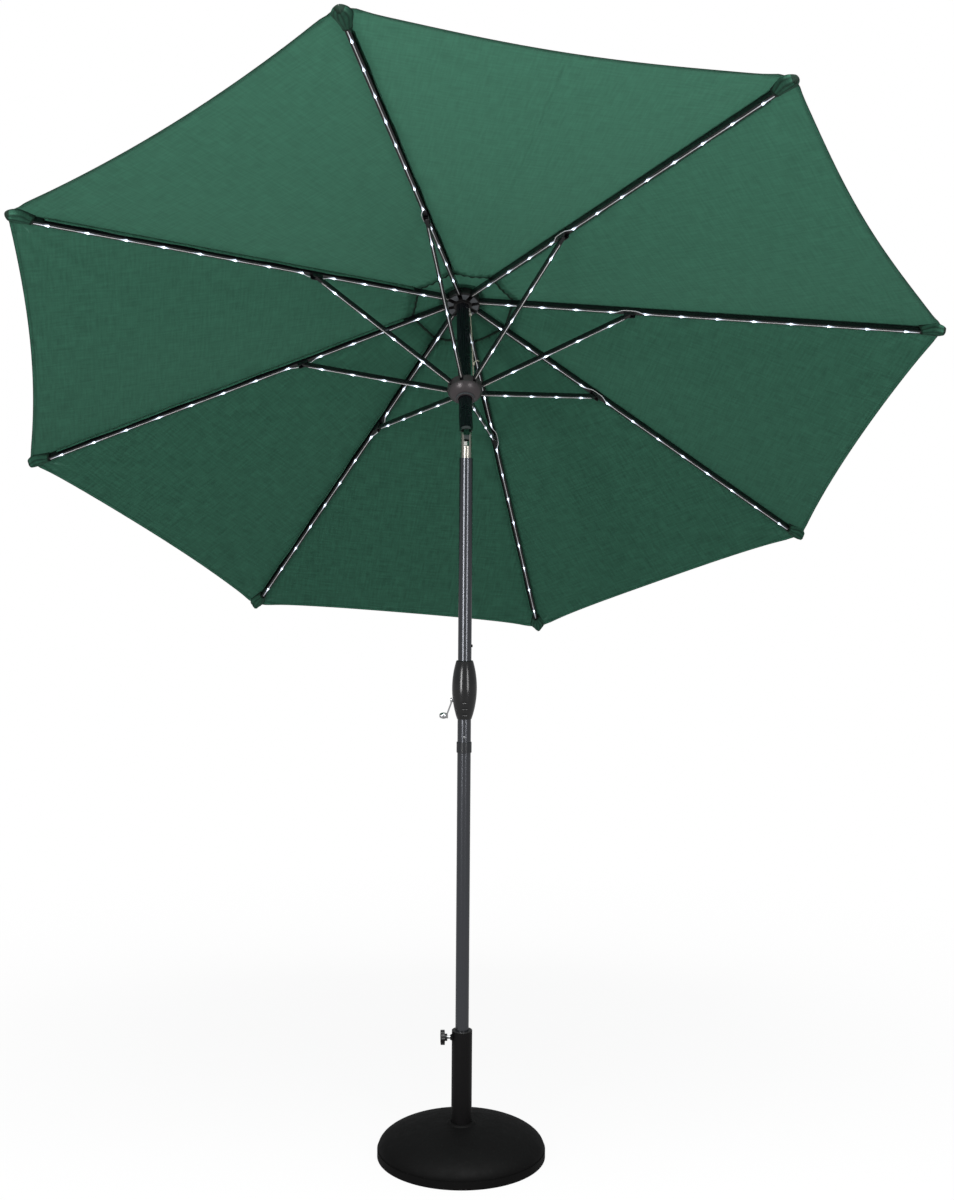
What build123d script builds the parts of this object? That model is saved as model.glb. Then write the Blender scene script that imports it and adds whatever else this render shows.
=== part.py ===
from build123d import *
import os
from math import acos, atan2, cos, degrees, hypot, radians, sin, sqrt, tan

os.makedirs("parts", exist_ok=True)

# A crank-lift market umbrella, eight ribs, leaning on its push-button tilt, in a weighted base.
# Millimetres. The origin is the centre of the base's underside, +Z is up, and the canopy leans to +Y.

# ---------------------------------------------------------------- driving dimensions
BASE_RADIUS = 238.5
BASE_RIM = 22.0  # height of the base's upright edge
BASE_STEP = 2.5  # ledge between the rim and the dome
BASE_TOP = 93.0  # height the dome would reach on the axis
SOCKET_FLOOR = 30.0  # bottom of the socket in the base
STEM_RADIUS, STEM_WALL, STEM_TOP = 29.0, 1.5, 356.0
CLAMP_Z = 337.0  # clamp screw's height
CLAMP_TIP = 19.35  # clamp screw's end, just short of the pole

POLE_RADIUS, POLE_WALL = 19.0, 1.4
POLE_JOINT_Z = 1160.0  # where the upper pole stands on the lower one
POLE_TOP_Z = 1975.0
SNAP_Z = 1193.0
SWITCH_Z = 1449.0

HOUSING_BOTTOM, HOUSING_MIDDLE, HOUSING_TOP = 1243.0, 1328.0, 1406.0
HOUSING_RADIUS = 35.0
CRANK_Z = 1294.0

TILT_Z = 2035.0  # height of the tilt pin
TILT = 33.35  # degrees that the canopy leans
FORK_RADIUS = 16.0
TONGUE_RADIUS = 13.0

# along the leaning top pole, measured from the tilt pin
TOP_POLE_START, TOP_POLE_END = 24.2, 508.0
RIB_HINGE_Z = 500.0
STRUT_HINGE_Z = 172.4
HINGE_RADIUS = 38.0  # both rings of pivots, from the pole's axis
SLOT_RADIUS = 27.0  # inner end of the slots in the hub and the runner
PULLEY_X, PULLEY_Z, PULLEY_GROOVE = 11.0, 468.0, 8.5

RIB_COUNT = 8
RIB_AZIMUTHS = [45.0 * i - 104.14 for i in range(RIB_COUNT)]
DROOP = 16.2  # degrees that the open ribs fall
RIB_LENGTH, RIB_WIDTH, RIB_HEIGHT, RIB_WALL = 1336.0, 12.0, 16.0, 0.8
BRACKET_REACH = 471.0  # from a rib's hinge to the strut's rivet, along the rib
BRACKET_DROP = 14.0  # rivet below the rib's centre line
STRUT_WIDTH, STRUT_HEIGHT, STRUT_WALL = 10.0, 12.0, 0.8
EYE_RADIUS = 4.8  # rounded ends of ribs and struts
PIN_RADIUS = 2.0
FIT = 0.05  # running clearance of pins and shafts, radial
OPEN_PIVOT_RADIUS = 3.2  # strut's outer hole, loose on its rivet

FABRIC = 1.0
FABRIC_LIFT = 0.9  # fabric above the ribs' flat tops, so that the fold line clears their edges
VENT_RADIUS = 150.0  # opening at the middle of the canopy, along a rib
HEM_SAG = 28.0  # how far each hem bows in between two tips
PANEL_GAP_INNER, PANEL_GAP_OUTER = 4.0, 27.0  # half the room that neighbouring panels need to fold
CAP_TOP_RADIUS, CAP_RADIUS = 62.0, 190.0
CAP_TOP_Z, CAP_RIM_Z = 518.2, 480.0

CORD_RADIUS = 1.5
CORD_GAP = 0.3

# ---------------------------------------------------------------- derived positions
DROOP_RAD = radians(DROOP)
BRACKET_R = HINGE_RADIUS + BRACKET_REACH * cos(DROOP_RAD) - BRACKET_DROP * sin(DROOP_RAD)
BRACKET_Z = RIB_HINGE_Z - BRACKET_REACH * sin(DROOP_RAD) - BRACKET_DROP * cos(DROOP_RAD)
STRUT_LENGTH = hypot(BRACKET_R - HINGE_RADIUS, BRACKET_Z - STRUT_HINGE_Z)
STRUT_SLOPE = degrees(atan2(BRACKET_Z - STRUT_HINGE_Z, BRACKET_R - HINGE_RADIUS))
HALF_GORE = radians(180.0 / RIB_COUNT)
FABRIC_APEX_Z = (
    RIB_HINGE_Z
    + HINGE_RADIUS * tan(DROOP_RAD)
    + (RIB_HEIGHT / 2 + FABRIC_LIFT + FABRIC) / cos(DROOP_RAD)
)
TIP_RADIUS = HINGE_RADIUS + RIB_LENGTH * cos(DROOP_RAD)
print(f"strut {STRUT_LENGTH:.2f} at {STRUT_SLOPE:.2f} degrees, tips at radius {TIP_RADIUS:.1f}")

# The leaning top pole has its own frame: z along the pole from the tilt pin, x along the pin.
LEAN = Plane(
    origin=(0, 0, TILT_Z),
    x_dir=(1, 0, 0),
    z_dir=(0, sin(radians(TILT)), cos(radians(TILT))),
)
LEAN_AXIS = Axis(LEAN.origin, LEAN.z_dir)


def leaning(origin, x_dir, z_dir):
    """A plane given by a point and two directions in the leaning frame."""
    point = LEAN.from_local_coords(Vector(*origin))
    across = LEAN.from_local_coords(Vector(*x_dir)) - LEAN.origin
    normal = LEAN.from_local_coords(Vector(*z_dir)) - LEAN.origin
    return Plane(origin=point, x_dir=across, z_dir=normal)


def side_plane(azimuth, radius=0.0, height=0.0, slope=0.0):
    """The upright plane through the top pole at this azimuth, x outward at a slope, y upward."""
    a, s = radians(azimuth), radians(slope)
    return leaning(
        (radius * cos(a), radius * sin(a), height),
        (cos(a) * cos(s), sin(a) * cos(s), sin(s)),
        (sin(a), -cos(a), 0),
    )


def gore_plane(azimuth):
    """The plane of one gore's outer face: origin at the canopy's apex, x down its middle."""
    a = radians(azimuth)
    run, fall = cos(HALF_GORE), tan(DROOP_RAD)
    size = hypot(run, fall)
    return leaning(
        (0, 0, FABRIC_APEX_Z),
        (cos(a) * run / size, sin(a) * run / size, -fall / size),
        (cos(a) * fall / size, sin(a) * fall / size, run / size),
    )


# ---------------------------------------------------------------- base and stem
dome_radius = BASE_RADIUS - BASE_STEP
dome_foot = BASE_RIM + BASE_STEP
collar_radius = STEM_RADIUS + 13
dome_end = degrees(acos(collar_radius / dome_radius))
collar_z = dome_foot + (BASE_TOP - dome_foot) * sin(radians(dome_end))

with BuildPart() as base_weight:
    with BuildSketch(Plane.XZ):
        with BuildLine():
            Polyline(
                (0, 0),
                (BASE_RADIUS, 0),
                (BASE_RADIUS, BASE_RIM),
                (dome_radius, BASE_RIM),
                (dome_radius, dome_foot),
            )
            EllipticalCenterArc(
                (0, dome_foot), dome_radius, BASE_TOP - dome_foot, arc_size=dome_end
            )
            Polyline(
                (collar_radius, collar_z),
                (collar_radius - 4, collar_z + 4),
                (STEM_RADIUS + 2, collar_z + 5),
                (STEM_RADIUS + FIT, collar_z + 4),
                (STEM_RADIUS + FIT, SOCKET_FLOOR),
                (0, SOCKET_FLOOR),
                (0, 0),
            )
        make_face()
    revolve(axis=Axis.Z)
base_weight.part.label = "base_weight"
export_step(base_weight.part, "parts/base_weight.step")

with BuildPart() as base_stem:
    with BuildSketch(Plane.XY.offset(SOCKET_FLOOR)):
        Circle(STEM_RADIUS)
        Circle(STEM_RADIUS - STEM_WALL, mode=Mode.SUBTRACT)
    extrude(amount=STEM_TOP - SOCKET_FLOOR)
    with BuildSketch(Plane.YZ):
        with Locations((0, CLAMP_Z)):
            Circle(4.5)
    extrude(amount=-STEM_RADIUS - 5, mode=Mode.SUBTRACT)
base_stem.part.label = "base_stem"
export_step(base_stem.part, "parts/base_stem.step")

# weld nut: a cone-backed boss on the stem's -X side, its back cut to the stem's curve
with BuildPart() as stem_nut:
    with BuildSketch(Plane.YZ.offset(-STEM_RADIUS + 3)):
        with Locations((0, CLAMP_Z)):
            Circle(11)
    with BuildSketch(Plane.YZ.offset(-STEM_RADIUS - 4.5)):
        with Locations((0, CLAMP_Z)):
            Circle(7)
    loft()
    with BuildSketch(Plane.XY.offset(CLAMP_Z - 20)):
        Circle(STEM_RADIUS + FIT)
    extrude(amount=40, mode=Mode.SUBTRACT)
    with BuildSketch(Plane.YZ):
        with Locations((0, CLAMP_Z)):
            Circle(4 + FIT)
    extrude(amount=-STEM_RADIUS - 6, mode=Mode.SUBTRACT)
stem_nut.part.label = "stem_nut"
export_step(stem_nut.part, "parts/stem_nut.step")

# ---------------------------------------------------------------- clamp knob
with BuildPart() as clamp_screw:
    with BuildSketch(Plane.YZ.offset(-CLAMP_TIP)):
        with Locations((0, CLAMP_Z)):
            Circle(4)
    extrude(amount=-36.0)
    chamfer(clamp_screw.edges().filter_by(GeomType.CIRCLE), 0.8)
clamp_screw.part.label = "clamp_screw"
export_step(clamp_screw.part, "parts/clamp_screw.step")

with BuildPart() as clamp_knob:
    with BuildSketch(Plane.YZ.offset(-49)):
        with Locations((0, CLAMP_Z)):
            Circle(17.5)
            with PolarLocations(16, 6):
                Circle(5)
    extrude(amount=-12)
    fillet(clamp_knob.faces().sort_by(Axis.X)[0].edges(), 1.5)
    with BuildSketch(Plane.YZ.offset(-49)):
        with Locations((0, CLAMP_Z)):
            Circle(10)
    extrude(amount=7)
    with BuildSketch(Plane.YZ.offset(-42)):
        with Locations((0, CLAMP_Z)):
            Circle(4 + FIT)
    extrude(amount=-14, mode=Mode.SUBTRACT)
clamp_knob.part.label = "clamp_knob"
export_step(clamp_knob.part, "parts/clamp_knob.step")

# ---------------------------------------------------------------- ring in the stem's mouth
with BuildPart() as stem_ring:
    with BuildSketch(Plane.XY.offset(STEM_TOP - 12)):
        Circle(STEM_RADIUS - STEM_WALL - FIT)
    extrude(amount=12.1)
    with BuildSketch(Plane.XY.offset(STEM_TOP + 0.1)):
        Circle(STEM_RADIUS)
    extrude(amount=2)
    with BuildSketch(Plane.XY.offset(STEM_TOP - 12)):
        Circle(POLE_RADIUS + FIT)
    extrude(amount=15, mode=Mode.SUBTRACT)
    chamfer(stem_ring.faces().sort_by(Axis.Z)[-1].edges(), 0.8)
stem_ring.part.label = "stem_ring"
export_step(stem_ring.part, "parts/stem_ring.step")

# ---------------------------------------------------------------- lower and upper pole
pole_bore = POLE_RADIUS - POLE_WALL
foot_z = SOCKET_FLOOR + 0.5

with BuildPart() as pole_foot:
    with BuildSketch(Plane.XY.offset(foot_z)):
        Circle(STEM_RADIUS - STEM_WALL - 0.3)
    extrude(amount=5)
    with BuildSketch(Plane.XY.offset(foot_z + 5)):
        Circle(pole_bore - FIT)
    extrude(amount=20)
pole_foot.part.label = "pole_foot"
export_step(pole_foot.part, "parts/pole_foot.step")

with BuildPart() as lower_pole:
    with BuildSketch(Plane.XY.offset(foot_z + 5)):
        Circle(POLE_RADIUS)
        Circle(pole_bore, mode=Mode.SUBTRACT)
    extrude(amount=POLE_JOINT_Z - foot_z - 5)
lower_pole.part.label = "lower_pole"
export_step(lower_pole.part, "parts/lower_pole.step")

with BuildPart() as upper_pole:
    with BuildSketch(Plane.XY.offset(POLE_JOINT_Z)):
        Circle(POLE_RADIUS)
        Circle(pole_bore, mode=Mode.SUBTRACT)
    extrude(amount=POLE_TOP_Z - POLE_JOINT_Z)
    # hole for the snap button at the front
    with BuildSketch(Plane.XZ):
        with Locations((0, SNAP_Z)):
            Circle(3.6)
    extrude(amount=POLE_RADIUS + 5, mode=Mode.SUBTRACT)
    # hole for the crank's shaft
    with BuildSketch(Plane.YZ):
        with Locations((0, CRANK_Z)):
            Circle(4.3)
    extrude(amount=-POLE_RADIUS - 5, mode=Mode.SUBTRACT)
    # hole for the light switch
    with BuildSketch(Plane.YZ):
        with Locations((0, SWITCH_Z)):
            Circle(4.1)
    extrude(amount=POLE_RADIUS + 5, mode=Mode.SUBTRACT)
upper_pole.part.label = "upper_pole"
export_step(upper_pole.part, "parts/upper_pole.step")

with BuildPart() as pole_sleeve:
    with BuildSketch(Plane.XY.offset(POLE_JOINT_Z - 95)):
        Circle(pole_bore - FIT)
        Circle(pole_bore - 1.3, mode=Mode.SUBTRACT)
    extrude(amount=160)
    with BuildSketch(Plane.XZ):
        with Locations((0, SNAP_Z)):
            Circle(3.6)
    extrude(amount=POLE_RADIUS + 5, mode=Mode.SUBTRACT)
pole_sleeve.part.label = "pole_sleeve"
export_step(pole_sleeve.part, "parts/pole_sleeve.step")

with BuildPart() as pole_collar:
    with BuildSketch(Plane.XY.offset(POLE_JOINT_Z - 12)):
        Circle(POLE_RADIUS + 2.3)
        Circle(POLE_RADIUS + FIT, mode=Mode.SUBTRACT)
    extrude(amount=30)
    chamfer(pole_collar.faces().sort_by(Axis.Z)[-1].edges(), 0.7)
    chamfer(pole_collar.faces().sort_by(Axis.Z)[0].edges(), 0.7)
pole_collar.part.label = "pole_collar"
export_step(pole_collar.part, "parts/pole_collar.step")

# ---------------------------------------------------------------- snap button and its leaf spring
button_back = -12.6
with BuildPart() as snap_button:
    with BuildSketch(Plane.XZ.offset(-button_back)):
        with Locations((0, SNAP_Z)):
            Circle(3.5)
    extrude(amount=POLE_RADIUS + 2.4 + button_back)
    fillet(snap_button.faces().sort_by(Axis.Y)[0].edges(), 1.2)
    # screwdriver slot across the button's end
    with BuildSketch(Plane.XZ.offset(POLE_RADIUS + 1.6)):
        with Locations((0, SNAP_Z)):
            Rectangle(8, 1.0)
    extrude(amount=2, mode=Mode.SUBTRACT)
snap_button.part.label = "snap_button"
export_step(snap_button.part, "parts/snap_button.step")

with BuildPart() as snap_spring:
    with BuildSketch(Plane.YZ):
        with BuildLine():
            Polyline(
                (button_back + 0.7, SNAP_Z + 5),
                (button_back + 0.7, SNAP_Z - 5),
                (2, SNAP_Z - 62),
                (pole_bore - 2.6, SNAP_Z - 20),
            )
        trace(line_width=0.8)
    extrude(amount=3.5, both=True)
snap_spring.part.label = "snap_spring"
export_step(snap_spring.part, "parts/snap_spring.step")

# ---------------------------------------------------------------- light switch
with BuildPart() as light_switch:
    with BuildSketch(Plane.YZ.offset(POLE_RADIUS - 3.2)):
        with Locations((0, SWITCH_Z)):
            Circle(4)
    extrude(amount=6.4)
    fillet(light_switch.faces().sort_by(Axis.X)[-1].edges(), 1.8)
light_switch.part.label = "light_switch"
export_step(light_switch.part, "parts/light_switch.step")

# ---------------------------------------------------------------- crank housing, front and back halves
screw_places = [(x, z) for x in (-25.0, 25.0) for z in (1312.0, 1345.0)]


def housing_half(arc):
    """One half of the barrel, turned from +X through the arc, with its cavity and end bores."""
    with BuildPart() as half:
        with BuildSketch(Plane.XZ):
            foot, shoulder = (20.5, HOUSING_BOTTOM), (24.0, HOUSING_TOP)
            with BuildLine():
                Line((POLE_RADIUS + FIT, HOUSING_BOTTOM), foot)
                ThreePointArc(foot, (HOUSING_RADIUS, HOUSING_MIDDLE), shoulder)
                Polyline(
                    shoulder,
                    (shoulder[0] - 1.6, HOUSING_TOP + 1.6),
                    (POLE_RADIUS + FIT, HOUSING_TOP + 1.6),
                    (POLE_RADIUS + FIT, HOUSING_BOTTOM),
                )
            make_face()
            with BuildLine():
                cavity_low, cavity_high = HOUSING_BOTTOM + 25, HOUSING_TOP - 18
                low, middle, high = (25.0, cavity_low), (31.0, HOUSING_MIDDLE), (25.0, cavity_high)
                ThreePointArc(low, middle, high)
                Polyline(
                    high,
                    (POLE_RADIUS - 1, cavity_high),
                    (POLE_RADIUS - 1, cavity_low),
                    low,
                )
            make_face(mode=Mode.SUBTRACT)
        revolve(axis=Axis.Z, revolution_arc=arc)
        # half of the crank shaft's bearing
        with BuildSketch(Plane.YZ):
            with Locations((0, CRANK_Z)):
                Circle(4 + FIT)
        extrude(amount=-HOUSING_RADIUS - 5, mode=Mode.SUBTRACT)
    return half.part


with BuildPart() as crank_housing_front:
    add(housing_half(-180))
    with BuildSketch(Plane.XZ):
        with Locations(*screw_places):
            Circle(4.4)
    extrude(amount=20)
    with BuildSketch(Plane.XZ):
        with Locations(*screw_places):
            Circle(1.8 + FIT)
    extrude(amount=16, mode=Mode.SUBTRACT)
    # three scooped grip lines across the lower front
    for groove_z, groove_y in ((1291.5, 34.3), (1273.5, 30.6), (1256.5, 26.2)):
        with BuildSketch(Plane.YZ):
            with Locations((-groove_y, groove_z)):
                Circle(3.4)
        extrude(amount=12, both=True, mode=Mode.SUBTRACT)
crank_housing_front.part.label = "crank_housing_front"
export_step(crank_housing_front.part, "parts/crank_housing_front.step")

with BuildPart() as crank_housing_back:
    add(housing_half(180))
    with BuildSketch(Plane.XZ):
        with Locations(*screw_places):
            Circle(4.4)
    extrude(amount=-19)
    with BuildSketch(Plane.XZ):
        with Locations(*screw_places):
            Circle(1.8 + FIT)
    extrude(amount=-30, mode=Mode.SUBTRACT)
    with BuildSketch(Plane.XZ.offset(-16)):
        with Locations(*screw_places):
            Circle(3.5)
    extrude(amount=-20, mode=Mode.SUBTRACT)
crank_housing_back.part.label = "crank_housing_back"
export_step(crank_housing_back.part, "parts/crank_housing_back.step")

with BuildPart() as housing_screws:
    with BuildSketch(Plane.XZ.offset(14)):
        with Locations(*screw_places):
            Circle(1.8)
    extrude(amount=-32)
    with BuildSketch(Plane.XZ.offset(-16.05)):
        with Locations(*screw_places):
            Circle(3.3)
    extrude(amount=-2.2)
housing_screws.part.label = "housing_screws"
export_step(housing_screws.part, "parts/housing_screws.step")

# ---------------------------------------------------------------- crank
drum_radius = 9.2
with BuildPart() as crank_shaft:
    with BuildSketch(Plane.YZ.offset(13)):
        with Locations((0, CRANK_Z)):
            Circle(4)
    extrude(amount=-51.5)
crank_shaft.part.label = "crank_shaft"
export_step(crank_shaft.part, "parts/crank_shaft.step")

with BuildPart() as crank_drum:
    with BuildSketch(Plane.YZ):
        with Locations((0, CRANK_Z)):
            Circle(drum_radius)
    extrude(amount=9, both=True)
    for end in (-1, 1):
        with BuildSketch(Plane.YZ.offset(end * 9)):
            with Locations((0, CRANK_Z)):
                Circle(11.6)
        extrude(amount=end * 1.6)
    with BuildSketch(Plane.YZ):
        with Locations((0, CRANK_Z)):
            Circle(4 + FIT)
    extrude(amount=20, both=True, mode=Mode.SUBTRACT)
crank_drum.part.label = "crank_drum"
export_step(crank_drum.part, "parts/crank_drum.step")

# bent flat bar, pressed on the shaft, with the knob's pin riveted into its free end
knob_z = CRANK_Z - 42
arm_thickness = 3.6
with BuildPart() as crank_handle:
    with BuildSketch(Plane.XZ):
        with BuildLine():
            Polyline((-36.6, CRANK_Z + 8), (-36.6, CRANK_Z - 5), (-48, knob_z + 6), (-48, knob_z - 7))
        trace(line_width=arm_thickness)
    extrude(amount=6, both=True)
    with BuildSketch(Plane.YZ.offset(-39.4)):
        with Locations((0, CRANK_Z)):
            Circle(7)
    extrude(amount=4.4)
    with BuildSketch(Plane.YZ.offset(-47)):
        with Locations((0, knob_z)):
            Circle(2.5)
    extrude(amount=-17)
    with BuildSketch(Plane.YZ.offset(-38.5)):
        with Locations((0, CRANK_Z)):
            Circle(4 + FIT)
    extrude(amount=6, mode=Mode.SUBTRACT)
crank_handle.part.label = "crank_handle"
export_step(crank_handle.part, "parts/crank_handle.step")

with BuildPart() as crank_knob:
    with BuildSketch(Plane.XZ):
        with BuildLine():
            Polyline((-50.2, knob_z + 2.5 + FIT), (-50.2, knob_z + 7), (-53, knob_z + 8))
            ThreePointArc((-53, knob_z + 8), (-60, knob_z + 8.8), (-66, knob_z + 7.2))
            ThreePointArc((-66, knob_z + 7.2), (-69.2, knob_z + 5), (-70.2, knob_z + 2))
            Polyline(
                (-70.2, knob_z + 2),
                (-70.2, knob_z),
                (-64.3, knob_z),
                (-64.3, knob_z + 2.5 + FIT),
                (-50.2, knob_z + 2.5 + FIT),
            )
        make_face()
    revolve(axis=Axis((0, 0, knob_z), (1, 0, 0)))
crank_knob.part.label = "crank_knob"
export_step(crank_knob.part, "parts/crank_knob.step")

# ---------------------------------------------------------------- tilt joint
cord_x, cord_y = 4.5, 6.2  # where the lift cord passes the tilt pin
cord_bore = 2.3
slot_half = 7.5
slot_floor = TILT_Z - 27
prong_radius = 14.2
with BuildPart() as tilt_fork:
    with BuildSketch(Plane.XY.offset(POLE_TOP_Z - 40)):
        Circle(FORK_RADIUS)
    extrude(amount=TILT_Z + prong_radius - POLE_TOP_Z + 40)
    with BuildSketch(Plane.YZ):
        with Locations((0, TILT_Z - 60)):
            Rectangle(60, 120)
        with Locations((0, TILT_Z)):
            Circle(prong_radius)
    extrude(amount=40, both=True, mode=Mode.INTERSECT)
    with BuildSketch(Plane.XY.offset(POLE_TOP_Z - 40)):
        Circle(pole_bore - FIT)
    extrude(amount=39)
    with BuildSketch(Plane.XZ):
        with Locations((0, slot_floor + 40)):
            Rectangle(2 * slot_half, 80)
    extrude(amount=40, both=True, mode=Mode.SUBTRACT)
    with BuildSketch(Plane.YZ):
        with Locations((0, TILT_Z)):
            Circle(3 + FIT)
    extrude(amount=40, both=True, mode=Mode.SUBTRACT)
    with BuildSketch(Plane.XY.offset(POLE_TOP_Z - 60)):
        with Locations((cord_x, cord_y)):
            Circle(cord_bore)
    extrude(amount=120, mode=Mode.SUBTRACT)
tilt_fork.part.label = "tilt_fork"
export_step(tilt_fork.part, "parts/tilt_fork.step")

with BuildPart() as tilt_pin:
    with BuildSketch(Plane.YZ):
        with Locations((0, TILT_Z)):
            Circle(3)
    extrude(amount=FORK_RADIUS - 0.5, both=True)
tilt_pin.part.label = "tilt_pin"
export_step(tilt_pin.part, "parts/tilt_pin.step")

with BuildPart() as tilt_button:
    with BuildSketch(Plane.XZ.offset(4)):
        with Locations((-2.9, slot_floor + 7)):
            RectangleRounded(8.8, 12, 1)
    extrude(amount=12.6)
    fillet(tilt_button.faces().sort_by(Axis.Y)[0].edges(), 0.8)
tilt_button.part.label = "tilt_button"
export_step(tilt_button.part, "parts/tilt_button.step")

with BuildPart() as tilt_knuckle:
    with BuildSketch(side_plane(90)):
        Circle(TONGUE_RADIUS)
        with Locations((0, 9)):
            Rectangle(2 * TONGUE_RADIUS, 18)
    extrude(amount=slot_half - 0.2, both=True)
    with BuildSketch(LEAN.offset(17)):
        Circle(FORK_RADIUS)
    with BuildSketch(LEAN.offset(24)):
        Circle(POLE_RADIUS - 0.4)
    loft()
    with BuildSketch(LEAN.offset(24)):
        Circle(POLE_RADIUS - 2.6)
    extrude(amount=36)
    with BuildSketch(side_plane(90)):
        Circle(3 + FIT)
    extrude(amount=40, both=True, mode=Mode.SUBTRACT)
    with BuildSketch(LEAN.offset(-20)):
        with Locations((cord_x, cord_y)):
            Circle(cord_bore)
    extrude(amount=100, mode=Mode.SUBTRACT)
tilt_knuckle.part.label = "tilt_knuckle"
export_step(tilt_knuckle.part, "parts/tilt_knuckle.step")

# ---------------------------------------------------------------- fluted top pole
flute_count = 20
with BuildPart() as top_pole:
    with BuildSketch(LEAN.offset(TOP_POLE_START)):
        Circle(POLE_RADIUS)
        with PolarLocations(POLE_RADIUS + 0.7, flute_count, start_angle=9):
            Circle(1.9, mode=Mode.SUBTRACT)
        Circle(POLE_RADIUS - 2.5, mode=Mode.SUBTRACT)
    extrude(amount=TOP_POLE_END - TOP_POLE_START)
    # slot for the cord pulley, and the holes of its pin
    with BuildSketch(side_plane(0)):
        with Locations((POLE_RADIUS, PULLEY_Z)):
            Rectangle(20, 28)
    extrude(amount=3.8, both=True, mode=Mode.SUBTRACT)
    with BuildSketch(side_plane(0)):
        with Locations((PULLEY_X, PULLEY_Z)):
            Circle(PIN_RADIUS + 0.02)
    extrude(amount=30, both=True, mode=Mode.SUBTRACT)
top_pole.part.label = "top_pole"
export_step(top_pole.part, "parts/top_pole.step")

with BuildPart() as pulley_pin:
    with BuildSketch(side_plane(0)):
        with Locations((PULLEY_X, PULLEY_Z)):
            Circle(PIN_RADIUS)
    extrude(amount=14.5, both=True)
pulley_pin.part.label = "pulley_pin"
export_step(pulley_pin.part, "parts/pulley_pin.step")

with BuildPart() as hub_pulley:
    with BuildSketch(side_plane(0)):
        with Locations((PULLEY_X, PULLEY_Z)):
            Circle(PULLEY_GROOVE)
    extrude(amount=3.2, both=True)
    for face_side in (-1, 1):
        with BuildSketch(side_plane(0).offset(face_side * 2.0)):
            with Locations((PULLEY_X, PULLEY_Z)):
                Circle(PULLEY_GROOVE + 2.6)
        extrude(amount=face_side * 1.2)
    with BuildSketch(side_plane(0)):
        with Locations((PULLEY_X, PULLEY_Z)):
            Circle(PIN_RADIUS + FIT)
    extrude(amount=10, both=True, mode=Mode.SUBTRACT)
hub_pulley.part.label = "hub_pulley"
export_step(hub_pulley.part, "parts/hub_pulley.step")

# ---------------------------------------------------------------- top hub and runner
hub_radius, hub_bottom, hub_top = 50.0, 488.0, 516.0
with BuildPart() as top_hub:
    with BuildSketch(side_plane(0)):
        with BuildLine():
            Polyline(
                (POLE_RADIUS + FIT, hub_bottom - 6),
                (25, hub_bottom - 6),
                (25, hub_bottom),
                (hub_radius, hub_bottom),
                (hub_radius + 2, hub_bottom + 4),
                (hub_radius + 2, hub_top - 4),
                (hub_radius - 2, hub_top),
                (0, hub_top),
                (0, TOP_POLE_END + 0.2),
                (POLE_RADIUS + FIT, TOP_POLE_END + 0.2),
                (POLE_RADIUS + FIT, hub_bottom - 6),
            )
        make_face()
    revolve(axis=LEAN_AXIS)
    for azimuth in RIB_AZIMUTHS:
        with BuildSketch(side_plane(azimuth)):
            with Locations((SLOT_RADIUS + 20, RIB_HINGE_Z - 10)):
                Rectangle(40, 32)
        extrude(amount=RIB_WIDTH / 2 - 0.3, both=True, mode=Mode.SUBTRACT)
        with BuildSketch(side_plane(azimuth)):
            with Locations((HINGE_RADIUS, RIB_HINGE_Z)):
                Circle(PIN_RADIUS + FIT)
        extrude(amount=10, both=True, mode=Mode.SUBTRACT)
top_hub.part.label = "top_hub"
export_step(top_hub.part, "parts/top_hub.step")

runner_radius, runner_bottom, runner_top = 50.0, 133.0, 184.0
slot_floor_z = STRUT_HINGE_Z - 8.4
with BuildPart() as runner:
    with BuildSketch(side_plane(0)):
        with BuildLine():
            Polyline(
                (POLE_RADIUS + 1.4, runner_bottom),
                (24.5, runner_bottom),
                (24.5, runner_bottom + 5),
            )
            ThreePointArc((24.5, runner_bottom + 5), (41, runner_bottom + 14), (runner_radius, 161))
            Polyline(
                (runner_radius, 161),
                (runner_radius, runner_top - 2),
                (runner_radius - 2, runner_top),
                (POLE_RADIUS + 1.4, runner_top),
                (POLE_RADIUS + 1.4, runner_bottom),
            )
        make_face()
    revolve(axis=LEAN_AXIS)
    for azimuth in RIB_AZIMUTHS:
        with BuildSketch(side_plane(azimuth)):
            with Locations((SLOT_RADIUS + 20, slot_floor_z + 20)):
                Rectangle(40, 40)
        extrude(amount=STRUT_WIDTH / 2 + 0.4, both=True, mode=Mode.SUBTRACT)
        with BuildSketch(side_plane(azimuth)):
            with Locations((HINGE_RADIUS, STRUT_HINGE_Z)):
                Circle(PIN_RADIUS + FIT)
        extrude(amount=10, both=True, mode=Mode.SUBTRACT)
runner.part.label = "runner"
export_step(runner.part, "parts/runner.step")

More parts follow.
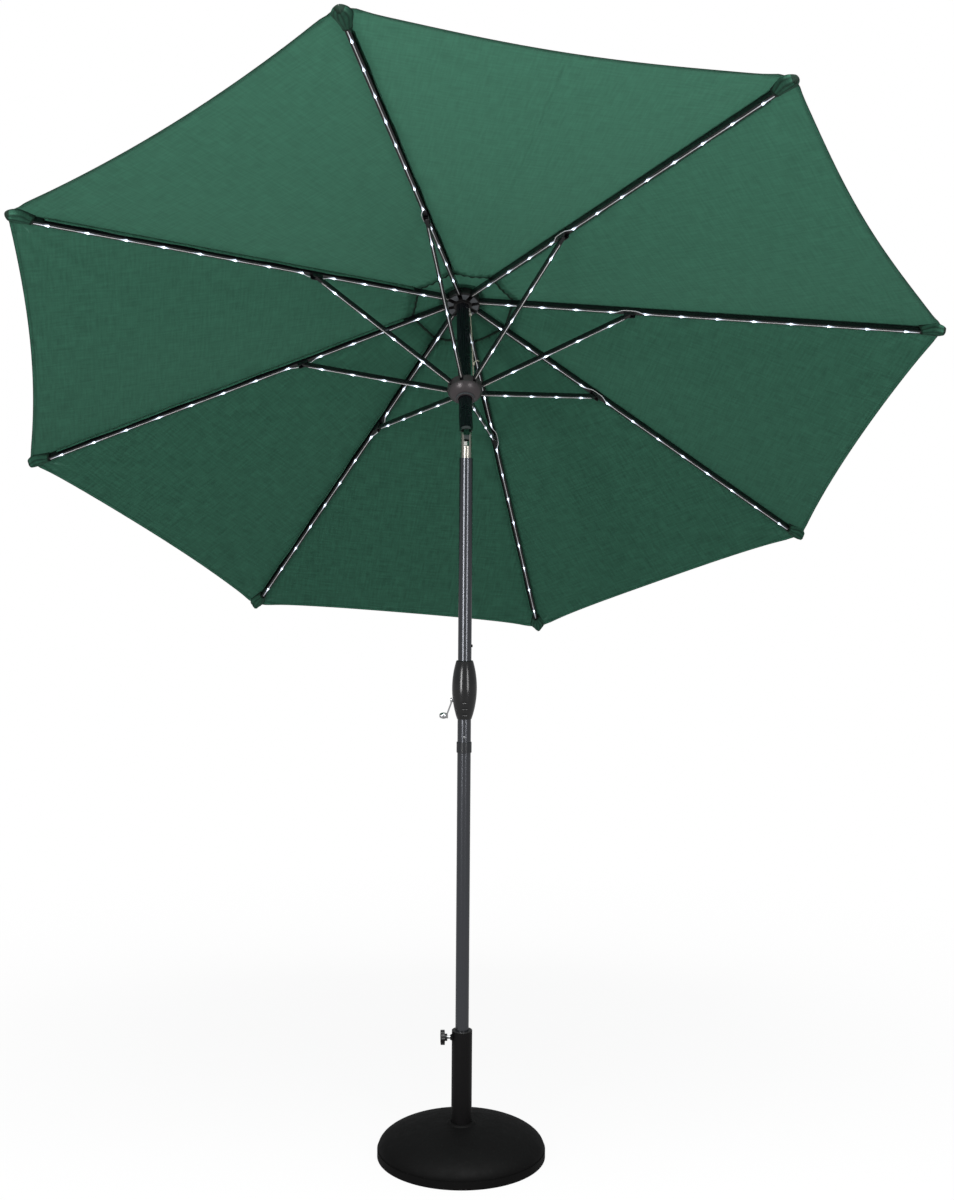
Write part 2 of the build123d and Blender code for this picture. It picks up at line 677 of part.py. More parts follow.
# ---------------------------------------------------------------- ribs
tube_start, tube_end = 22.0, RIB_LENGTH - 14
plate_thickness = 1.5
for number, azimuth in enumerate(RIB_AZIMUTHS, start=1):
    rib_side = side_plane(azimuth, HINGE_RADIUS, RIB_HINGE_Z, -DROOP)
    with BuildPart() as rib:
        # box-section tube, with the holes of the two rivets that hold the strut's plates
        with BuildSketch(rib_side):
            with Locations(((tube_start + tube_end) / 2, 0)):
                Rectangle(tube_end - tube_start, RIB_HEIGHT)
        extrude(amount=RIB_WIDTH / 2, both=True)
        with BuildSketch(rib_side):
            with Locations((RIB_LENGTH / 2, 0)):
                Rectangle(RIB_LENGTH + 40, RIB_HEIGHT - 2 * RIB_WALL)
        extrude(amount=RIB_WIDTH / 2 - RIB_WALL, both=True, mode=Mode.SUBTRACT)
        with BuildSketch(rib_side):
            with Locations((BRACKET_REACH - 10, 0), (BRACKET_REACH + 10, 0)):
                Circle(1.5 + FIT)
        extrude(amount=RIB_WIDTH, both=True, mode=Mode.SUBTRACT)
        # hub end: an eye and neck, and a tongue inside the tube
        with BuildSketch(rib_side):
            Circle(EYE_RADIUS)
            with Locations(((tube_start - 0.2) / 2, 0)):
                Rectangle(tube_start - 0.2, 2 * EYE_RADIUS)
            Circle(PIN_RADIUS + 0.02, mode=Mode.SUBTRACT)
        extrude(amount=STRUT_WIDTH / 2, both=True)
        with BuildSketch(rib_side):
            with Locations((tube_start + 6, 0)):
                Rectangle(32, RIB_HEIGHT - 2 * RIB_WALL - 0.2)
        extrude(amount=RIB_WIDTH / 2 - RIB_WALL - 0.1, both=True)
        with BuildSketch(rib_side):
            Circle(PIN_RADIUS)
        extrude(amount=8, both=True)
        # tip cap
        with BuildSketch(rib_side):
            with Locations(((tube_end + 0.1 + RIB_LENGTH) / 2, 0)):
                Rectangle(RIB_LENGTH - tube_end - 0.1, RIB_HEIGHT)
        extrude(amount=RIB_WIDTH / 2 + 0.2, both=True)
        with BuildSketch(rib_side):
            with Locations((tube_end - 9, 0)):
                Rectangle(22, RIB_HEIGHT - 2 * RIB_WALL - 0.2)
        extrude(amount=RIB_WIDTH / 2 - RIB_WALL - 0.1, both=True)
        # the strut's two plates, their rivets, and the rivet that the strut hangs on
        for face_side in (-1, 1):
            with BuildSketch(rib_side.offset(face_side * (RIB_WIDTH / 2 + 0.1))):
                with Locations((BRACKET_REACH, -BRACKET_DROP / 2 + 0.5)):
                    RectangleRounded(32, BRACKET_DROP + 12, 4)
                with Locations((BRACKET_REACH - 10, 0), (BRACKET_REACH + 10, 0)):
                    Circle(1.5 + FIT, mode=Mode.SUBTRACT)
                with Locations((BRACKET_REACH, -BRACKET_DROP)):
                    Circle(PIN_RADIUS + 0.02, mode=Mode.SUBTRACT)
            extrude(amount=face_side * plate_thickness)
        with BuildSketch(rib_side):
            with Locations((BRACKET_REACH - 10, 0), (BRACKET_REACH + 10, 0)):
                Circle(1.5)
            with Locations((BRACKET_REACH, -BRACKET_DROP)):
                Circle(PIN_RADIUS)
        extrude(amount=RIB_WIDTH / 2 + plate_thickness + 1, both=True)
    rib.part.label = f"rib_{number}"
    export_step(rib.part, f"parts/rib_{number}.step")

# ---------------------------------------------------------------- struts
strut_tube_start, strut_tube_end = 26.0, STRUT_LENGTH - 20
for number, azimuth in enumerate(RIB_AZIMUTHS, start=1):
    strut_side = side_plane(azimuth, HINGE_RADIUS, STRUT_HINGE_Z, STRUT_SLOPE)
    with BuildPart() as strut:
        with BuildSketch(strut_side):
            with Locations(((strut_tube_start + strut_tube_end) / 2, 0)):
                Rectangle(strut_tube_end - strut_tube_start, STRUT_HEIGHT)
        extrude(amount=STRUT_WIDTH / 2, both=True)
        with BuildSketch(strut_side):
            with Locations((STRUT_LENGTH / 2, 0)):
                Rectangle(STRUT_LENGTH, STRUT_HEIGHT - 2 * STRUT_WALL)
        extrude(amount=STRUT_WIDTH / 2 - STRUT_WALL, both=True, mode=Mode.SUBTRACT)
        # an end fitting at each end: an eye and neck, and a tongue inside the tube
        for eye_at, tube_at, hole in (
            (0.0, strut_tube_start, PIN_RADIUS + 0.02),
            (STRUT_LENGTH, strut_tube_end, OPEN_PIVOT_RADIUS),
        ):
            inward = 1 if tube_at > eye_at else -1
            neck_end = tube_at - inward * 0.2
            with BuildSketch(strut_side):
                with Locations((eye_at, 0)):
                    Circle(EYE_RADIUS)
                with Locations(((eye_at + neck_end) / 2, 0)):
                    Rectangle(abs(neck_end - eye_at), 2 * EYE_RADIUS)
                with Locations((eye_at, 0)):
                    Circle(hole, mode=Mode.SUBTRACT)
            extrude(amount=STRUT_WIDTH / 2, both=True)
            with BuildSketch(strut_side):
                with Locations((tube_at + inward * 5, 0)):
                    Rectangle(28, STRUT_HEIGHT - 2 * STRUT_WALL - 0.2)
            extrude(amount=STRUT_WIDTH / 2 - STRUT_WALL - 0.1, both=True)
        with BuildSketch(strut_side):
            Circle(PIN_RADIUS)
        extrude(amount=8, both=True)
    strut.part.label = f"strut_{number}"
    export_step(strut.part, f"parts/strut_{number}.step")

# ---------------------------------------------------------------- canopy panels
# Each panel is the cloth from mid-gore to mid-gore over one rib: two flat halves that meet on it.
along = sqrt(cos(HALF_GORE) ** 2 + tan(DROOP_RAD) ** 2)  # down a gore's middle, per unit of radius
across = sin(HALF_GORE)
tip = TIP_RADIUS + 4
hem_middle = tip - HEM_SAG / along
hem_sphere = ((tip * across) ** 2 + HEM_SAG**2) / (2 * HEM_SAG)


def hem_point(offset):
    """A point of the hem's arc, this far from the middle of the gore."""
    reach = hem_middle * along + hem_sphere - sqrt(hem_sphere**2 - offset**2)
    return reach, offset


for number, azimuth in enumerate(RIB_AZIMUTHS, start=1):
    with BuildPart() as canopy_panel:
        for turn in (-1, 1):
            inner_middle = (VENT_RADIUS * along, -turn * PANEL_GAP_INNER)
            inner_rib = (VENT_RADIUS * along, -turn * VENT_RADIUS * across)
            outer_rib = (tip * along, -turn * tip * across)
            hem_half = hem_point(-turn * tip * across / 2)
            outer_middle = hem_point(-turn * PANEL_GAP_OUTER)
            with BuildSketch(gore_plane(azimuth + turn * 180 / RIB_COUNT)):
                with BuildLine():
                    Polyline(inner_middle, inner_rib, outer_rib)
                    ThreePointArc(outer_rib, hem_half, outer_middle)
                    Line(outer_middle, inner_middle)
                make_face()
            extrude(amount=-FABRIC)
    canopy_panel.part.label = f"canopy_panel_{number}"
    export_step(canopy_panel.part, f"parts/canopy_panel_{number}.step")

# ---------------------------------------------------------------- vent cap and solar unit
corner_turn = RIB_AZIMUTHS[0]
with BuildPart() as vent_canopy:
    with BuildSketch(LEAN.offset(CAP_RIM_Z)):
        RegularPolygon(CAP_RADIUS, RIB_COUNT, rotation=corner_turn)
    with BuildSketch(LEAN.offset(CAP_TOP_Z)):
        RegularPolygon(CAP_TOP_RADIUS, RIB_COUNT, rotation=corner_turn)
    loft()
    with BuildSketch(LEAN.offset(CAP_RIM_Z - FABRIC)):
        RegularPolygon(CAP_RADIUS, RIB_COUNT, rotation=corner_turn)
    with BuildSketch(LEAN.offset(CAP_TOP_Z - FABRIC)):
        RegularPolygon(CAP_TOP_RADIUS, RIB_COUNT, rotation=corner_turn)
    loft(mode=Mode.SUBTRACT)
    with BuildSketch(LEAN.offset(CAP_RIM_Z)):
        Circle(12.2)
    extrude(amount=60, mode=Mode.SUBTRACT)
vent_canopy.part.label = "vent_canopy"
export_step(vent_canopy.part, "parts/vent_canopy.step")

solar_bottom = CAP_TOP_Z + 0.1
with BuildPart() as solar_housing:
    with BuildSketch(side_plane(0)):
        with BuildLine():
            Polyline(
                (0, hub_top + 0.1),
                (12, hub_top + 0.1),
                (12, solar_bottom),
                (66, solar_bottom),
                (70, solar_bottom + 4),
            )
            ThreePointArc((70, solar_bottom + 4), (68, solar_bottom + 14), (60, solar_bottom + 22))
            Polyline(
                (60, solar_bottom + 22),
                (55, solar_bottom + 22),
                (55, solar_bottom + 20),
                (0, solar_bottom + 20),
                (0, hub_top + 0.1),
            )
        make_face()
    revolve(axis=LEAN_AXIS)
solar_housing.part.label = "solar_housing"
export_step(solar_housing.part, "parts/solar_housing.step")

with BuildPart() as solar_cell:
    with BuildSketch(LEAN.offset(solar_bottom + 20.05)):
        Circle(54.9)
    extrude(amount=1.6)
solar_cell.part.label = "solar_cell"
export_step(solar_cell.part, "parts/solar_cell.step")

# ---------------------------------------------------------------- lift cord
def straight_cord(start, end):
    """A taut run of cord between two points."""
    run = Vector(*end) - Vector(*start)
    with BuildPart() as cord:
        with BuildSketch(Plane(origin=start, z_dir=run)):
            Circle(CORD_RADIUS)
        extrude(amount=run.length)
    return cord.part


def on_lean(x, y, z):
    """A point of the leaning frame, in the part's frame."""
    point = LEAN.from_local_coords(Vector(x, y, z))
    return point.X, point.Y, point.Z


# from the crank's drum up to the tilt joint
drum_side = drum_radius + CORD_GAP + CORD_RADIUS
with BuildPart() as lift_cord_lower:
    add(straight_cord((cord_x, drum_side, CRANK_Z), (cord_x, cord_y, slot_floor - 1)))
lift_cord_lower.part.label = "lift_cord_lower"
export_step(lift_cord_lower.part, "parts/lift_cord_lower.step")

# from the tilt joint up to the pulley
cord_reach = PULLEY_GROOVE + CORD_GAP + CORD_RADIUS
with BuildPart() as lift_cord_upper:
    add(straight_cord(on_lean(cord_x, cord_y, 16), on_lean(PULLEY_X - cord_reach, 0, PULLEY_Z)))
lift_cord_upper.part.label = "lift_cord_upper"
export_step(lift_cord_upper.part, "parts/lift_cord_upper.step")

# from the pulley down outside the pole to the runner, with its knot part-way
knot = (27.0, -3.0, 262.0)
CORD_ROUTE = [(PULLEY_X + cord_reach, 0.0, PULLEY_Z), knot, (24.0, 0.0, runner_top + CORD_GAP)]
upper_run = Vector(*CORD_ROUTE[1]) - Vector(*CORD_ROUTE[0])
lower_run = Vector(*CORD_ROUTE[2]) - Vector(*CORD_ROUTE[1])
cord_start = LEAN.from_local_coords(upper_run) - LEAN.origin
turn_at_knot = upper_run.get_angle(lower_run)
knot_radius = 0.45 * lower_run.length / tan(radians(turn_at_knot / 2))
print(f"cord turns {turn_at_knot:.2f} degrees at its knot, radius {knot_radius:.0f}")
with BuildPart() as lift_cord:
    with BuildLine():
        FilletPolyline(*[on_lean(*point) for point in CORD_ROUTE], radius=knot_radius)
    with BuildSketch(Plane(origin=on_lean(*CORD_ROUTE[0]), z_dir=cord_start)):
        Circle(CORD_RADIUS)
    sweep()
lift_cord.part.label = "lift_cord"
export_step(lift_cord.part, "parts/lift_cord.step")
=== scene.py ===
"""A crank-lift patio umbrella with string lights, leaning on its tilt joint in a weighted base."""

import logging
import math
from dataclasses import dataclass, field
from enum import Enum
from typing import NamedTuple

import bmesh
import bpy
from mathutils import Matrix, Vector


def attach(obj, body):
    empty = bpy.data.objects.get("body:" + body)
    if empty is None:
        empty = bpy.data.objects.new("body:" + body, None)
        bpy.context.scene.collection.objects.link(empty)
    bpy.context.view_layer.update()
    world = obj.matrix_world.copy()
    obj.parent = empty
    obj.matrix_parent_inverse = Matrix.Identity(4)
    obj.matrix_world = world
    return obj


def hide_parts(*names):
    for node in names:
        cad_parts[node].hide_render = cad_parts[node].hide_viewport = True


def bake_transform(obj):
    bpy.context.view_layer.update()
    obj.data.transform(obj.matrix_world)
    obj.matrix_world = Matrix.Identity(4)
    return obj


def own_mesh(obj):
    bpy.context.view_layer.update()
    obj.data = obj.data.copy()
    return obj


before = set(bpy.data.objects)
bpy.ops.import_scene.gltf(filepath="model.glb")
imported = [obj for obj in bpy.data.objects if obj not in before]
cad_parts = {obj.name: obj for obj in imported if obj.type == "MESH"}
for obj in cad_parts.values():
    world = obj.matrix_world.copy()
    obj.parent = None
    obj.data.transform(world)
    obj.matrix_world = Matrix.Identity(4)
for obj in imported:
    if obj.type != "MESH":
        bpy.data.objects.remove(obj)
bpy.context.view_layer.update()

log = logging.getLogger("umbrella")

Tree = bpy.types.NodeTree
Socket = bpy.types.NodeSocket
Node = bpy.types.Node
Piece = bpy.types.Object
Mesh = bpy.types.Mesh
Material = bpy.types.Material
Point = tuple[float, float, float]

RIB_COUNT = 8
RIB_STEP = math.radians(45)
FIRST_AZIMUTH = math.radians(-104.14)
DROOP = math.radians(16.2)
TILT = math.radians(33.35)
TILT_HEIGHT = 2.035
HINGE_RADIUS = 0.038
RIB_HINGE_Z = 0.500
STRUT_HINGE_Z = 0.1724
STRUT_SLOPE = math.radians(22.17)
STRUT_LENGTH = 0.4842
RIB_LENGTH = 1.336
RIB_HALF_HEIGHT = 0.008
CLOTH_LIFT = 0.0099

# The leaning frame has z along the top pole from the tilt pin, and x along the pin.
LEAN = Matrix.Translation((0, 0, TILT_HEIGHT)) @ Matrix.Rotation(-TILT, 4, "X")


class Slot(Enum):
    """The record's material slots."""

    BASE_STONE = "base_stone"
    BLACK_STEEL = "black_steel"
    GREY_POLE = "grey_pole"
    POLE_COLLAR = "pole_collar"
    FLUTED_POLE = "fluted_pole"
    RIB_STEEL = "rib_steel"
    BRONZE_PLASTIC = "bronze_plastic"
    GLOSS_PLASTIC = "gloss_plastic"
    BLACK_PLASTIC = "black_plastic"
    WHITE_PLASTIC = "white_plastic"
    RUBBER = "rubber"
    CHROME = "chrome"
    NICKEL = "nickel"
    DARK_NICKEL = "dark_nickel"
    ZINC = "zinc"
    CORD = "cord"
    CANOPY_CLOTH = "canopy_cloth"
    SOLAR_GLASS = "solar_glass"


Materials = dict[Slot, Material]


# ---------------------------------------------------------------- small helpers


def linear(tint: str, level: float = 1.0) -> tuple[float, float, float, float]:
    """Turns an sRGB hex colour into linear light.

    Args:
        tint: Colour as #rrggbb.
        level: Factor on the linear colour, for a lighter or darker shade of it.

    Returns:
        Red, green, blue and alpha.
    """
    values = [int(tint[i : i + 2], 16) / 255 for i in (1, 3, 5)]
    light = [v / 12.92 if v <= 0.04045 else ((v + 0.055) / 1.055) ** 2.4 for v in values]
    return (*[min(1.0, v * level) for v in light], 1.0)


def add_node(
    tree: Tree, kind: str, inputs: dict | None = None, links: dict | None = None,
    **settings: object,
) -> Node:
    """Adds a shader node with its settings and links.

    Args:
        tree: Node tree that gets the node.
        kind: Node type, without the ShaderNode prefix.
        inputs: Values of unlinked inputs, by name or index.
        links: Output sockets that feed inputs, by name or index.
        settings: Attributes of the node.

    Returns:
        The new node.
    """
    node = tree.nodes.new("ShaderNode" + kind)
    for name, value in settings.items():
        setattr(node, name, value)
    for key, value in (inputs or {}).items():
        node.inputs[key].default_value = value
    for key, source in (links or {}).items():
        tree.links.new(source, node.inputs[key])
    return node


def fresh_tree(owner: Material | bpy.types.World) -> Tree:
    """Gives a material or world an empty node tree.

    Args:
        owner: The material or world.

    Returns:
        The empty tree.
    """
    owner.use_nodes = True
    owner.node_tree.nodes.clear()
    return owner.node_tree


def per_metre(size_mm: float) -> float:
    """Gives the texture scale of a pattern whose repeat is this many millimetres."""
    return 1000.0 / size_mm


def smooth_step(low: float, high: float, value: float) -> float:
    """Rises smoothly from 0 at low to 1 at high."""
    t = max(0.0, min(1.0, (value - low) / (high - low)))
    return t * t * (3 - 2 * t)


def new_piece(
    name: str, points: list[Vector], faces: list[tuple[int, ...]], place: Matrix = LEAN
) -> Piece:
    """Makes a smooth-shaded mesh object.

    Args:
        name: Piece name.
        points: Vertices in the frame that place maps to the row frame.
        faces: Vertex indices of each face, seen anticlockwise from outside.
        place: Matrix to the row frame.

    Returns:
        The new object, at the origin, with its place in its mesh.
    """
    mesh = bpy.data.meshes.new(name)
    mesh.from_pydata([place @ p for p in points], [], faces)
    mesh.polygons.foreach_set("use_smooth", [True] * len(mesh.polygons))
    mesh.update()
    piece = bpy.data.objects.new(name, mesh)
    bpy.context.scene.collection.objects.link(piece)
    return piece


def set_values(mesh: Mesh, named: dict[str, list[float]]) -> None:
    """Stores a number at each vertex under each name, for the materials to read."""
    for title, values in named.items():
        mesh.attributes.new(title, "FLOAT", "POINT").data.foreach_set("value", values)


def smooth_line(name: str, points: list[Vector], resolution: int, radius: float = 0.0) -> Mesh:
    """Makes a mesh of the NURBS line through a route.

    Args:
        name: Name of the mesh.
        points: The route's control points.
        resolution: Divisions between two of them.
        radius: Half the thickness of a wire along the line, or 0 for the bare line.

    Returns:
        The mesh.
    """
    data = bpy.data.curves.new(name, "CURVE")
    data.dimensions = "3D"
    data.resolution_u = resolution
    data.bevel_depth = radius
    data.bevel_resolution = 2
    data.use_fill_caps = radius > 0
    spline = data.splines.new("NURBS")
    spline.points.add(len(points) - 1)
    for control, point in zip(spline.points, points):
        control.co = (*point, 1.0)
    spline.order_u = 3
    spline.use_endpoint_u = True
    curve = bpy.data.objects.new(name, data)
    bpy.context.scene.collection.objects.link(curve)
    mesh = bpy.data.meshes.new_from_object(curve)
    bpy.data.objects.remove(curve)
    bpy.data.curves.remove(data)
    return mesh


def turned_copy(piece: Piece, name: str, steps: int) -> Piece:
    """Copies a piece with its own mesh, turned about the top pole.

    Args:
        piece: Piece made for rib 1.
        name: Name of the copy.
        steps: How many ribs further round the copy stands.

    Returns:
        The copy.
    """
    copy = piece.copy()
    copy.data = piece.data.copy()
    copy.name = name
    copy.data.name = name
    copy.data.transform(LEAN @ Matrix.Rotation(steps * RIB_STEP, 4, "Z") @ LEAN.inverted())
    bpy.context.scene.collection.objects.link(copy)
    return copy


def dress(piece: Piece, material: Material) -> None:
    """Gives a piece one material.

    Args:
        piece: The piece to dress.
        material: Its finish.
    """
    piece.data.materials.clear()
    piece.data.materials.append(material)


def active_piece(name: str) -> Piece:
    """Names the object that an operator has just added, and its mesh.

    Args:
        name: The piece's name.

    Returns:
        The piece.
    """
    piece = bpy.context.view_layer.objects.active
    piece.name = name
    piece.data.name = name
    return piece


def finish_piece(piece: Piece, place: Matrix = LEAN, angle: float = 35.0) -> None:
    """Applies a piece's modifiers and place, and shades it smooth up to an angle.

    Args:
        piece: The active object, in object mode.
        place: Matrix from the frame it was modelled in to the row frame.
        angle: Edges sharper than this many degrees stay sharp.
    """
    for modifier in list(piece.modifiers):
        bpy.ops.object.modifier_apply(modifier=modifier.name)
    bpy.ops.object.transform_apply(location=True, rotation=True, scale=True)
    bpy.ops.object.shade_smooth_by_angle(angle=math.radians(angle))
    piece.data.transform(place)
    bpy.ops.object.select_all(action="DESELECT")


def along_member(azimuth: float, height: float, slope: float) -> Matrix:
    """Gives the frame of a rib or strut in the leaning frame.

    Args:
        azimuth: Direction that the rib points in, in radians.
        height: Height of its hinge.
        slope: How far it rises outward, in radians.

    Returns:
        Matrix whose x runs outward along the member, y across it and z up from it.
    """
    c, s = math.cos(azimuth), math.sin(azimuth)
    up, out = math.sin(slope), math.cos(slope)
    return Matrix(
        (
            (c * out, -s, -c * up, HINGE_RADIUS * c), (s * out, c, -s * up, HINGE_RADIUS * s),
            (up, 0, out, height), (0, 0, 0, 1),
        )
    )


# ---------------------------------------------------------------- finishes


@dataclass(frozen=True)
class Finish:
    """A surface with a fine relief and a slightly uneven tone.

    Attributes:
        title: Material and process.
        tint: Mean colour.
        roughness: Mean roughness.
        metallic: 1 for bare metal.
        ior: Refraction of a plastic or paint.
        shine: Strength of its reflection, 0.5 for a clean surface.
        coat: Strength of a clear gloss layer.
        coat_roughness: Roughness of that layer.
        grain_mm: Size of the relief.
        depth_mm: Height of the relief.
        patch_mm: Size of the tone's patches.
        patch: Share by which the tone varies.
        gloss_swing: Amount by which the roughness varies.
        stretch: Scale of the patterns along x, y and z.
    """

    title: str
    tint: str
    roughness: float
    metallic: float = 0.0
    ior: float = 1.5
    shine: float = 0.5
    coat: float = 0.0
    coat_roughness: float = 0.06
    grain_mm: float = 1.2
    depth_mm: float = 0.02
    patch_mm: float = 70.0
    patch: float = 0.1
    gloss_swing: float = 0.06
    stretch: Point = (1.0, 1.0, 1.0)

    def place(self, tree: Tree) -> Socket:
        """Gives the pattern's coordinates, in metres on the piece.

        Args:
            tree: The material's node tree.

        Returns:
            The coordinates.
        """
        where = add_node(tree, "TexCoord").outputs["Object"]
        return add_node(
            tree, "Mapping", inputs={"Scale": self.stretch}, links={"Vector": where}
        ).outputs[0]

    def tone(self, tree: Tree, where: Socket) -> Socket:
        """Gives the colour, with broad patches a little lighter and darker.

        Args:
            tree: The material's node tree.
            where: The coordinates that place() gives.

        Returns:
            The colour.
        """
        cloud = add_node(
            tree, "TexNoise", inputs={"Scale": per_metre(self.patch_mm), "Detail": 3.0},
            links={"Vector": where},
        )
        return add_node(
            tree, "Mix", data_type="RGBA",
            inputs={6: linear(self.tint, 1 - self.patch), 7: linear(self.tint, 1 + self.patch)},
            links={0: cloud.outputs[0]},
        ).outputs[2]

    def gloss(self, tree: Tree, where: Socket) -> Socket:
        """Gives the roughness, with handling marks.

        Args:
            tree: The material's node tree.
            where: The coordinates that place() gives.

        Returns:
            The roughness.
        """
        marks = add_node(
            tree, "TexNoise",
            inputs={"Scale": per_metre(self.patch_mm * 0.4), "Detail": 5.0, "Roughness": 0.6},
            links={"Vector": where},
        )
        return add_node(
            tree, "MapRange",
            inputs={
                "From Min": 0.3, "From Max": 0.7,
                "To Min": max(0.02, self.roughness - self.gloss_swing),
                "To Max": min(1.0, self.roughness + self.gloss_swing),
            },
            links={"Value": marks.outputs[0]},
        ).outputs[0]

    def height(self, tree: Tree, where: Socket) -> Socket:
        """Gives the relief's height, from 0 to 1.

        Args:
            tree: The material's node tree.
            where: The coordinates that place() gives.

        Returns:
            The height.
        """
        return add_node(
            tree, "TexNoise",
            inputs={"Scale": per_metre(self.grain_mm), "Detail": 4.0, "Roughness": 0.55},
            links={"Vector": where},
        ).outputs[0]

    def shader(self, tree: Tree) -> Node:
        """Builds the main shader node.

        Args:
            tree: The material's node tree.

        Returns:
            The shader node.
        """
        where = self.place(tree)
        relief = add_node(
            tree, "Bump", inputs={"Strength": 1.0, "Distance": self.depth_mm / 1000},
            links={"Height": self.height(tree, where)},
        )
        return add_node(
            tree, "BsdfPrincipled",
            inputs={
                "Metallic": self.metallic, "IOR": self.ior, "Specular IOR Level": self.shine,
                "Coat Weight": self.coat, "Coat Roughness": self.coat_roughness,
            },
            links={
                "Base Color": self.tone(tree, where), "Roughness": self.gloss(tree, where),
                "Normal": relief.outputs[0],
            },
        )

    def material(self) -> Material:
        """Builds the material.

        Returns:
            The new material.
        """
        made = bpy.data.materials.new(self.title)
        tree = fresh_tree(made)
        add_node(tree, "OutputMaterial", links={"Surface": self.shader(tree).outputs[0]})
        return made


@dataclass(frozen=True)
class CastStone(Finish):
    """Black cast resin stone: a sandy moulded skin with scattered pale grit and rubbed patches.

    Attributes:
        grit_mm: Spacing of the pale grit.
        grit: Colour of the grit.
    """

    grit_mm: float = 9.0
    grit: str = "#3c3c3b"

    def tone(self, tree: Tree, where: Socket) -> Socket:
        """Gives the black body colour with specks of grit in it.

        Args:
            tree: The material's node tree.
            where: The coordinates that place() gives.

        Returns:
            The colour.
        """
        body = super().tone(tree, where)
        cells = add_node(
            tree, "TexVoronoi", inputs={"Scale": per_metre(self.grit_mm)}, links={"Vector": where}
        )
        speck = add_node(
            tree, "MapRange",
            inputs={"From Min": 0.10, "From Max": 0.04, "To Min": 0.0, "To Max": 0.6},
            links={"Value": cells.outputs["Distance"]},
        )
        return add_node(
            tree, "Mix", data_type="RGBA", inputs={7: linear(self.grit)},
            links={0: speck.outputs[0], 6: body},
        ).outputs[2]

    def height(self, tree: Tree, where: Socket) -> Socket:
        """Gives sand grains over a slightly uneven casting.

        Args:
            tree: The material's node tree.
            where: The coordinates that place() gives.

        Returns:
            The height.
        """
        grains = super().height(tree, where)
        waves = add_node(
            tree, "TexNoise", inputs={"Scale": per_metre(self.grain_mm * 9), "Detail": 2.0},
            links={"Vector": where},
        )
        return add_node(
            tree, "Math", operation="MULTIPLY_ADD", inputs={1: 1.6},
            links={0: waves.outputs[0], 2: grains},
        ).outputs[0]


